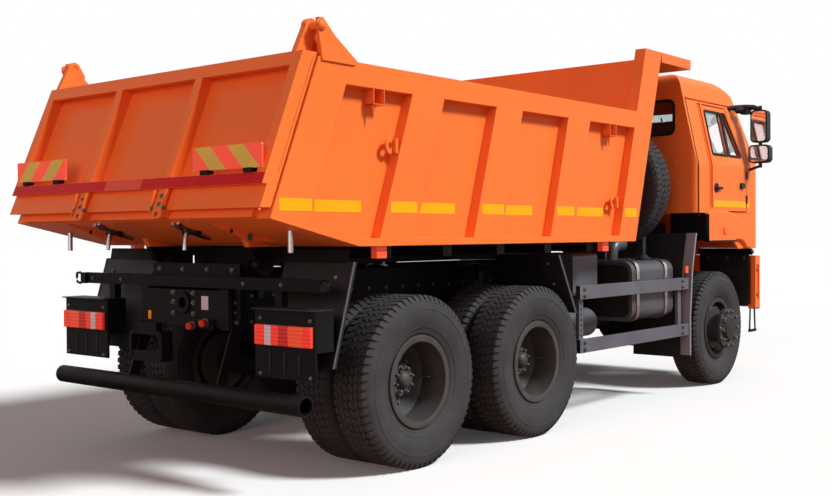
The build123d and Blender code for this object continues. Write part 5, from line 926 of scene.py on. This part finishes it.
# Cab: window rubbers
SILL, HEAD = 2.196, 2.6
PANES = (
    oblong((4.35, 4.7), (SILL, HEAD)),
    ((4.726, SILL), (4.99, SILL), (4.8, HEAD), (4.726, HEAD)),
)
SCREEN = oblong((-1.01, 1.01), (2.11, 2.7))
WINDOW_Z = (2.37, 2.67)
WINDOWS = ((-0.98, -0.68), (-0.33, 0.33), (0.68, 0.98))
for side, sign in SIDES:
    rubbers = Shape(f"door_rubbers_{side}", f"door_{side}_body", "black_plastic", 0.002, seal)
    for pane in PANES:
        loops = rings(pane, (0.016, 0.035), (-0.009, 0.018), 5)
        places = [[at(p.x, sign * (cab_side(p.y) - 0.004), p.y) for p in loop] for loop in loops]
        rubbers.band(*places, (0, sign * 0.01, 0.002))
    rubbers.done()
gaskets = Shape("cab_rubbers", "cab", "black_plastic", 0.002, seal)
loops = rings(SCREEN, (0.012, 0.06), (-0.014, 0.04), 6)
places = [[at(screen_station(p.y) - 0.004, p.x, p.y) for p in loop] for loop in loops]
gaskets.band(*places, (0.01, 0, 0.004))
for y in WINDOWS:
    loops = rings(oblong(y, WINDOW_Z), (0.016, 0.076), (-0.01, 0.052), 8)
    gaskets.band(*[across(CAB_REAR + 0.002, loop) for loop in loops], (-0.01, 0, 0))
gaskets.done()

# Cab: gutter, seams, rear plugs, markers, wipers and grille backing
SIDE_TAPE_Y = (1.204, 1.2065)
SIDE_TAPE_Z = (1.7, 1.76)
GUTTER_Z = 2.7
GUTTER_X = (3.985, 4.3, 4.7, 5.02)
GUTTER = ((0, 2.69), (0.014, 2.694), (0.014, 2.706), (-0.002, 2.702))
# The black strips paint the shadow in the gaps at the cab's rear corner and at the door's rear edge; the
# orange strip is a moulding.
SEAMS_AND_GAP_SHADOWS = (
    # rear station, front station, height above the skin, low z, top z, look
    (3.985, 3.999, 0.002, 1.6, 2.69, seal),
    (4.262, 4.29, 0.014, 1.7, 2.66, paint),
    (4.29, 4.298, 0.003, 1.7, 2.66, seal),
)
PLUGS = ((0.993, 2.254), (0.992, 2.08), (1.012, 1.906))
PLUG = ((0, 0.022), (0.006, 0.02), (0.008, 0.001))
BLADE = ((0.31, 2.24), (0.26, 2.66))
GRILLE_SLOTS, GRILLE_LOW, GRILLE_PITCH, GRILLE_HALF = 4, 1.345, 0.058, 0.639
BAR_PITCH = 0.098
trim = Shape("cab_trim", "cab", "orange_paint", 0.002)
for sign in (1, -1):
    skin_y = sign * (cab_side(GUTTER_Z) - 0.001)
    trim.skin([[at(s, skin_y + sign * out, z) for out, z in GUTTER] for s in GUTTER_X])
    for rear, front, proud, low, top, look in SEAMS_AND_GAP_SHADOWS:
        section = ((rear, -0.001), (front, -0.001), (front, proud), (rear, proud))
        levels = (low, CAB_WAIST, top)
        trim.skin([[at(s, sign * (cab_side(z) + out), z) for s, out in section] for z in levels], look)
    for y, z in PLUGS:
        trim.lathe(at(CAB_REAR, sign * y, z), REARWARD, PLUG, sides=18)
    trim.box((4.43, 4.49), span(sign, 1.246, 1.258), (1.445, 1.505), amber_lens)
    trim.box((5.086, 5.141), span(sign, *SIDE_TAPE_Y), SIDE_TAPE_Z, yellow)
    trim.box((4.125, 4.715), span(sign, 1.2, 1.25), (1.374, 1.386), seal)
    foot = at(screen_station(2.12) + 0.03, sign * 0.42, 2.1)
    tip = at(screen_station(2.52) + 0.02, sign * 0.3, 2.52)
    knee = foot + Vector((0.012, 0, 0.05))
    trim.tube([foot, knee, (foot + tip) / 2 + Vector((0.014, 0, 0)), tip], 0.007, plastic)
    heel, toe = [at(screen_station(z) + 0.008, sign * y, z) for y, z in BLADE]
    trim.rod(heel, toe - heel, 0.008, plastic, 8)
    trim.rod(foot + Vector((-0.03, 0, 0)), (0.05, 0, 0), 0.018, plastic, 16)
trim.box((CAB_REAR - 0.012, CAB_REAR), (-1.02, 1.02), (2.692, 2.706))
for slot in range(GRILLE_SLOTS):
    low = GRILLE_LOW + slot * GRILLE_PITCH
    z = (low + 0.001, low + 0.033)
    trim.box((CAB_FRONT - 0.018, CAB_FRONT - 0.014), (-GRILLE_HALF, GRILLE_HALF), z, plastic)
    for step in range(-6, 7):
        trim.box((CAB_FRONT - 0.016, CAB_FRONT - 0.004), about(step * BAR_PITCH, 0.005), z, plastic)
trim.done()

# Flares of the front fenders and the shaft on which the cab tilts
FLARE_IN, FLARE_DEPTH = 1.19, 0.052
FLARE = (
    (4.112, 1.385), (4.84, 1.385), (4.9, 1.375), (4.95, 1.35), (5.0, 1.305), (5.11, 1.305), (5.06, 1.4),
    (4.97, 1.5), (4.85, 1.585), (4.7, 1.64), (4.56, 1.663), (4.18, 1.663), (4.135, 1.645), (4.112, 1.6),
)
for side, sign in SIDES:
    flare = Shape(f"fender_flare_{side}", "cab", "orange_paint", 0.014, fender_paint)
    flare.prism(along(sign * FLARE_IN, FLARE), (0, sign * FLARE_DEPTH, 0))
    flare.done()
TILT_X, TILT_Z, TILT_HALF = 5.425, 1.262, 1.12
TILT_SHAFT = ((0, 0.028), (0.01, 0.033), (2 * TILT_HALF - 0.01, 0.033), (2 * TILT_HALF, 0.028))
shaft = Shape("cab_tilt_shaft", "chassis", "black_paint", 0.002)
shaft.lathe(at(TILT_X, -TILT_HALF, TILT_Z), (0, 1, 0), TILT_SHAFT, sides=24)
for sign in (1, -1):
    shaft.nut(at(TILT_X, sign * TILT_HALF, TILT_Z), (0, sign, 0), 0.016, 0.014)
shaft.done()

# Liners ahead of the front wheels
LINER_X = (5.315, 5.321)
for side, sign in SIDES:
    liner = Shape(f"arch_liner_{side}", "chassis", "black_plastic", 0.003)
    liner.box(LINER_X, span(sign, 0.6, 1.13), (0.72, 1.24))
    liner.nuts(LINER_X[:1], (sign * 0.7, sign * 0.9, sign * 1.08), [1.2], REARWARD, 0.01, 0.01)
    liner.done()

# Doors: tape, handles, latches and hinges
DOOR_OUT = 1.2045
HANDLE_CUP = ((0, 0.046), (0.006, 0.046), (0.01, 0.038), (0.004, 0.034), (0.003, 0.001))
HANDLE = ((-0.02, 0.004), (0.0, 0.022), (0.07, 0.026), (0.11, 0.012))
LATCH = rounded(oblong((4.91, 5.0), (1.885, 1.94)), 0.02)
for side, sign in SIDES:
    fit = Shape(f"door_fittings_{side}", f"door_{side}_body", "black_plastic", 0.002)
    fit.box((4.297, 5.05), span(sign, *SIDE_TAPE_Y), SIDE_TAPE_Z, yellow)
    centre = at(4.37, sign * DOOR_OUT, 1.878)
    fit.lathe(centre, (0, sign, 0), HANDLE_CUP, sides=28)
    fit.tube([centre + Vector((ahead, sign * out, 0)) for ahead, out in HANDLE], 0.011)
    fit.prism(along(sign * DOOR_OUT, LATCH), (0, sign * 0.022, 0))
    for z in (1.78, 2.02):
        fit.rod(at(5.066, sign * 1.207, z - 0.04), (0, 0, 0.08), 0.012, sides=16)
    fit.done()

# Mirrors
MIRROR_X, MIRROR_Y = 5.106, 1.315
MIRRORS = (
    # half width, z range
    (0.072, (2.355, 2.645)),
    (0.092, (2.155, 2.303)),
)
MIRROR_ARM = (
    (4.93, 1.07, 2.675), (4.99, 1.12, 2.688), (5.05, 1.2, 2.694), (5.09, 1.27, 2.69), (5.115, 1.31, 2.672),
)
ARM_JOINT = ((0, 0.012), (0.012, 0.03), (0.05, 0.034), (0.08, 0.02), (0.086, 0.001))
for side, sign in SIDES:
    faces = Shape(f"mirror_glass_{side}", "cab", "glass", look=mirror)
    faces.tube([at(s, sign * y, z) for s, y, z in MIRROR_ARM], 0.022, plastic, 12)
    faces.lathe(at(4.99, sign * 1.12, 2.655), (0.4, sign, 0.1), ARM_JOINT, plastic, 18)
    for half, z in MIRRORS:
        outline = oblong(about(MIRROR_Y, half), z)
        faces.prism(across(MIRROR_X - 0.0008, rounded(outline, 0.035, 6), sign), (-0.002, 0, 0))
        loops = rings(outline, (0.008, 0.04), (0.0, 0.04), 6)
        faces.band(*[across(MIRROR_X, loop, sign) for loop in loops], (-0.006, 0, 0), plastic)
    faces.done()

# Headlamps and bumper ends
BEZEL_Y = (0.662, 0.958)
BEZEL_Z = (0.902, 1.078)
BOWL = ((0, 0.018), (0.006, 0.04), (0.018, 0.06), (0.0185, 0.064), (0.0, 0.066))
BULB = ((0, 0.012), (0.012, 0.012), (0.016, 0.006), (0.017, 0.001))
for side, sign in SIDES:
    lamp = Shape(f"headlamp_{side}", "chassis", "glass", 0.0015, silver)
    lamp.box((BUMPER_FRONT - 0.03, BUMPER_FRONT - 0.026), span(sign, *BEZEL_Y), BEZEL_Z, plastic)
    for y in (0.735, 0.868):
        centre = at(BUMPER_FRONT - 0.026, sign * y, 0.99)
        lamp.lathe(centre, (1, 0, 0), BOWL, sides=36)
        lamp.lathe(centre, (1, 0, 0), BULB, sides=16)
    lamp.box((BUMPER_FRONT - 0.025, BUMPER_FRONT - 0.012), span(sign, 0.938, 0.956), (0.91, 1.07), amber_lens)
    lamp.box((BUMPER_FRONT - 0.006, BUMPER_FRONT - 0.002), span(sign, *BEZEL_Y), BEZEL_Z, clear)
    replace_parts(lamp.done(), "headlamps")
    ends = Shape(f"bumper_ends_{side}", "chassis", "steel", 0.001, bolt_steel)
    ends.nuts([5.35], [sign * 1.191], (0.83, 1.08), (0, sign, 0), 0.013, 0.012)
    ends.box((5.3, 5.395), span(sign, 1.15, 1.207), (0.69, 0.7), plastic)
    ends.done()

# Seats, swelled by a cloth simulation
VOXEL = 0.011
PRESSURE = 4.0
STEPS = 20
SWELL = 0.02
CHANNELS = (-0.09, 0.09)
CHANNEL_DEPTH, CHANNEL_WIDTH = 0.012, 0.011
SEATS = {"middle": 0.0, "left": 0.64, "right": -0.64}
SEAT_FORMS = {
    # rear and front station, right and left y, low and high z, backward lean
    "cushion": (4.345, 4.79, -0.225, 0.225, 1.895, 1.998, 0.0),
    "back": (4.335, 4.445, -0.215, 0.215, 2.01, 2.535, 0.115),
}


def stuffed(name, form):
    """A cushion swelled by pressure from a plain form, with sewn channels."""
    rear, front, right, left, low, high, lean = form
    shape = Shape(name, "cab", "seat_fabric")
    levels = ((0, low), (lean, high))
    shape.skin([layer((rear - back, front - back), (right, left), z) for back, z in levels])
    obj = link(name, shape.mesh())
    bpy.context.view_layer.objects.active = obj
    remesh = obj.modifiers.new("even", "REMESH")
    remesh.mode = "VOXEL"
    remesh.voxel_size = VOXEL
    bpy.ops.object.modifier_apply(modifier=remesh.name)
    rest = [vertex.co.copy() for vertex in obj.data.vertices]
    pad = obj.modifiers.new("cloth", "CLOTH")
    pad.settings.use_pressure = True
    pad.settings.uniform_pressure_force = PRESSURE
    pad.settings.effector_weights.gravity = 0.0
    for step in range(1, STEPS + 1):
        scene.frame_set(step)
    swelled = bpy.data.meshes.new_from_object(obj.evaluated_get(bpy.context.evaluated_depsgraph_get()))
    obj.modifiers.clear()
    obj.data = swelled
    scene.frame_set(1)
    middle = Vector([(min(p[i] for p in rest) + max(p[i] for p in rest)) / 2 for i in range(3)])
    for vertex, start in zip(obj.data.vertices, rest):
        move = vertex.co - start
        if move.length > SWELL:
            vertex.co = start + move * (SWELL / move.length)
        inward = middle - start
        inward.y = 0.0
        for y in CHANNELS:
            depth = CHANNEL_DEPTH * exp(-(((start.y - y) / CHANNEL_WIDTH) ** 2))
            vertex.co += inward.normalized() * depth
    obj.data.shade_smooth()
    return obj


padding = {kind: stuffed(f"seat_{kind}_middle", form) for kind, form in SEAT_FORMS.items()}
for name, offset in SEATS.items():
    for kind, first in padding.items():
        obj = link(f"seat_{kind}_{name}", first.data) if offset else first
        obj.location.y = offset
        smooth = obj.modifiers.new("smooth", "SUBSURF")
        smooth.levels = smooth.render_levels = 1
        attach(obj, "cab")
        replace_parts(obj, "seats")
    stand = Shape(f"seat_stand_{name}", "cab", "black_plastic", 0.006)
    stand.box((4.39, 4.74), about(offset, 0.125), (1.683, 1.86))
    stand.box((4.35, 4.78), about(offset, 0.21), (1.86, 1.884))
    for y in about(offset, 0.16):
        stand.box((4.36, 4.77), about(y, 0.015), (1.84, 1.862), steel)
    stand.done()

# Camera
PHOTO_WIDTH, FOCAL_PIXELS = 832, 1070.67
SENSOR = 36.0
EYE = at(-5.1377, -5.4393, 1.4627)
YAW, PITCH, ROLL = radians(39.685), radians(-0.759), radians(-0.33)
ahead = Vector((cos(YAW) * cos(PITCH), sin(YAW) * cos(PITCH), sin(PITCH)))
right = Vector((sin(YAW), -cos(YAW), 0))
up = right.cross(ahead)
right, up = right * cos(ROLL) + up * sin(ROLL), up * cos(ROLL) - right * sin(ROLL)
camera_data = bpy.data.cameras.new("camera")
camera_data.sensor_fit = "HORIZONTAL"
camera_data.sensor_width = SENSOR
camera_data.lens = SENSOR * FOCAL_PIXELS / PHOTO_WIDTH
camera_data.clip_end = 500.0
scene.camera = link("camera", camera_data)
scene.camera.matrix_world = Matrix.Translation(EYE) @ Matrix((right, up, -ahead)).transposed().to_4x4()

# Floor: pale where it is seen, darker where it throws light on the truck
REACH = 150.0
BOUNCE = (0.36, 0.22, 0.2)
PALE = ((0.91, 0.94, 0.965), (0.93, 0.965, 0.985))
FLOOR_GLOW = 0.03
WHITE = (1.0, 1.0, 1.0, 1.0)
floor_mesh = bpy.data.meshes.new("floor")
corners = oblong((-REACH, REACH), (-REACH, REACH))
floor_mesh.from_pydata([(x, y, 0) for x, y in corners], [], [(0, 1, 2, 3)])
floor = link("floor", floor_mesh)
ground = Nodes("floor")
pale = ground.blend(ground.noise(0.6, 5.0), *PALE)
ground.constants(Roughness=0.9, Specular_IOR_Level=0.0, Emission_Color=WHITE)
seen = ground.add("ShaderNodeLightPath").outputs["Is Camera Ray"]
ground.feed("Base Color", ground.blend(seen, BOUNCE, pale))
ground.feed("Emission Strength", ground.calc("MULTIPLY", seen, value=FLOOR_GLOW))
floor_mesh.materials.append(ground.material)

# Light and background
AMBIENT, AMBIENT_LEVEL = (1.0, 0.94, 0.94, 1.0), 0.17
LAMPS = (
    # name, strength, spread in degrees, direction towards the lamp, colour
    ("key", 3.75, 14, (0.28, -0.67, 0.69), (1.0, 1.0, 0.97)),
    ("fill", 1.15, 40, (-0.92, -0.2, 0.18), (1.0, 0.6, 0.58)),
)
for name, strength, spread, towards, colour in LAMPS:
    sun_data = bpy.data.lights.new(name, "SUN")
    sun_data.color = colour
    sun_data.energy = strength
    sun_data.angle = radians(spread)
    sun = link(name, sun_data)
    sun.rotation_mode = "QUATERNION"
    sun.rotation_quaternion = Vector(towards).to_track_quat("Z", "Y")

scene.world = bpy.data.worlds.new("studio")
sky = Tree(scene.world)
ambient, white = sky.tree.nodes["Background"], sky.add("ShaderNodeBackground")
for background, colour, strength in ((ambient, AMBIENT, AMBIENT_LEVEL), (white, WHITE, 1.0)):
    background.inputs["Color"].default_value = colour
    background.inputs["Strength"].default_value = strength
rays = sky.add("ShaderNodeLightPath").outputs
seen = rays["Is Camera Ray"]
for other in ("Is Glossy Ray", "Is Transmission Ray"):
    seen = sky.calc("MAXIMUM", seen, rays[other])
choose = sky.add("ShaderNodeMixShader")
for source, socket in ((seen, 0), (ambient.outputs[0], 1), (white.outputs[0], 2)):
    sky.join(source, choose.inputs[socket])
sky.join(choose.outputs["Shader"], sky.tree.nodes["World Output"].inputs["Surface"])
scene.view_settings.view_transform = "Standard"
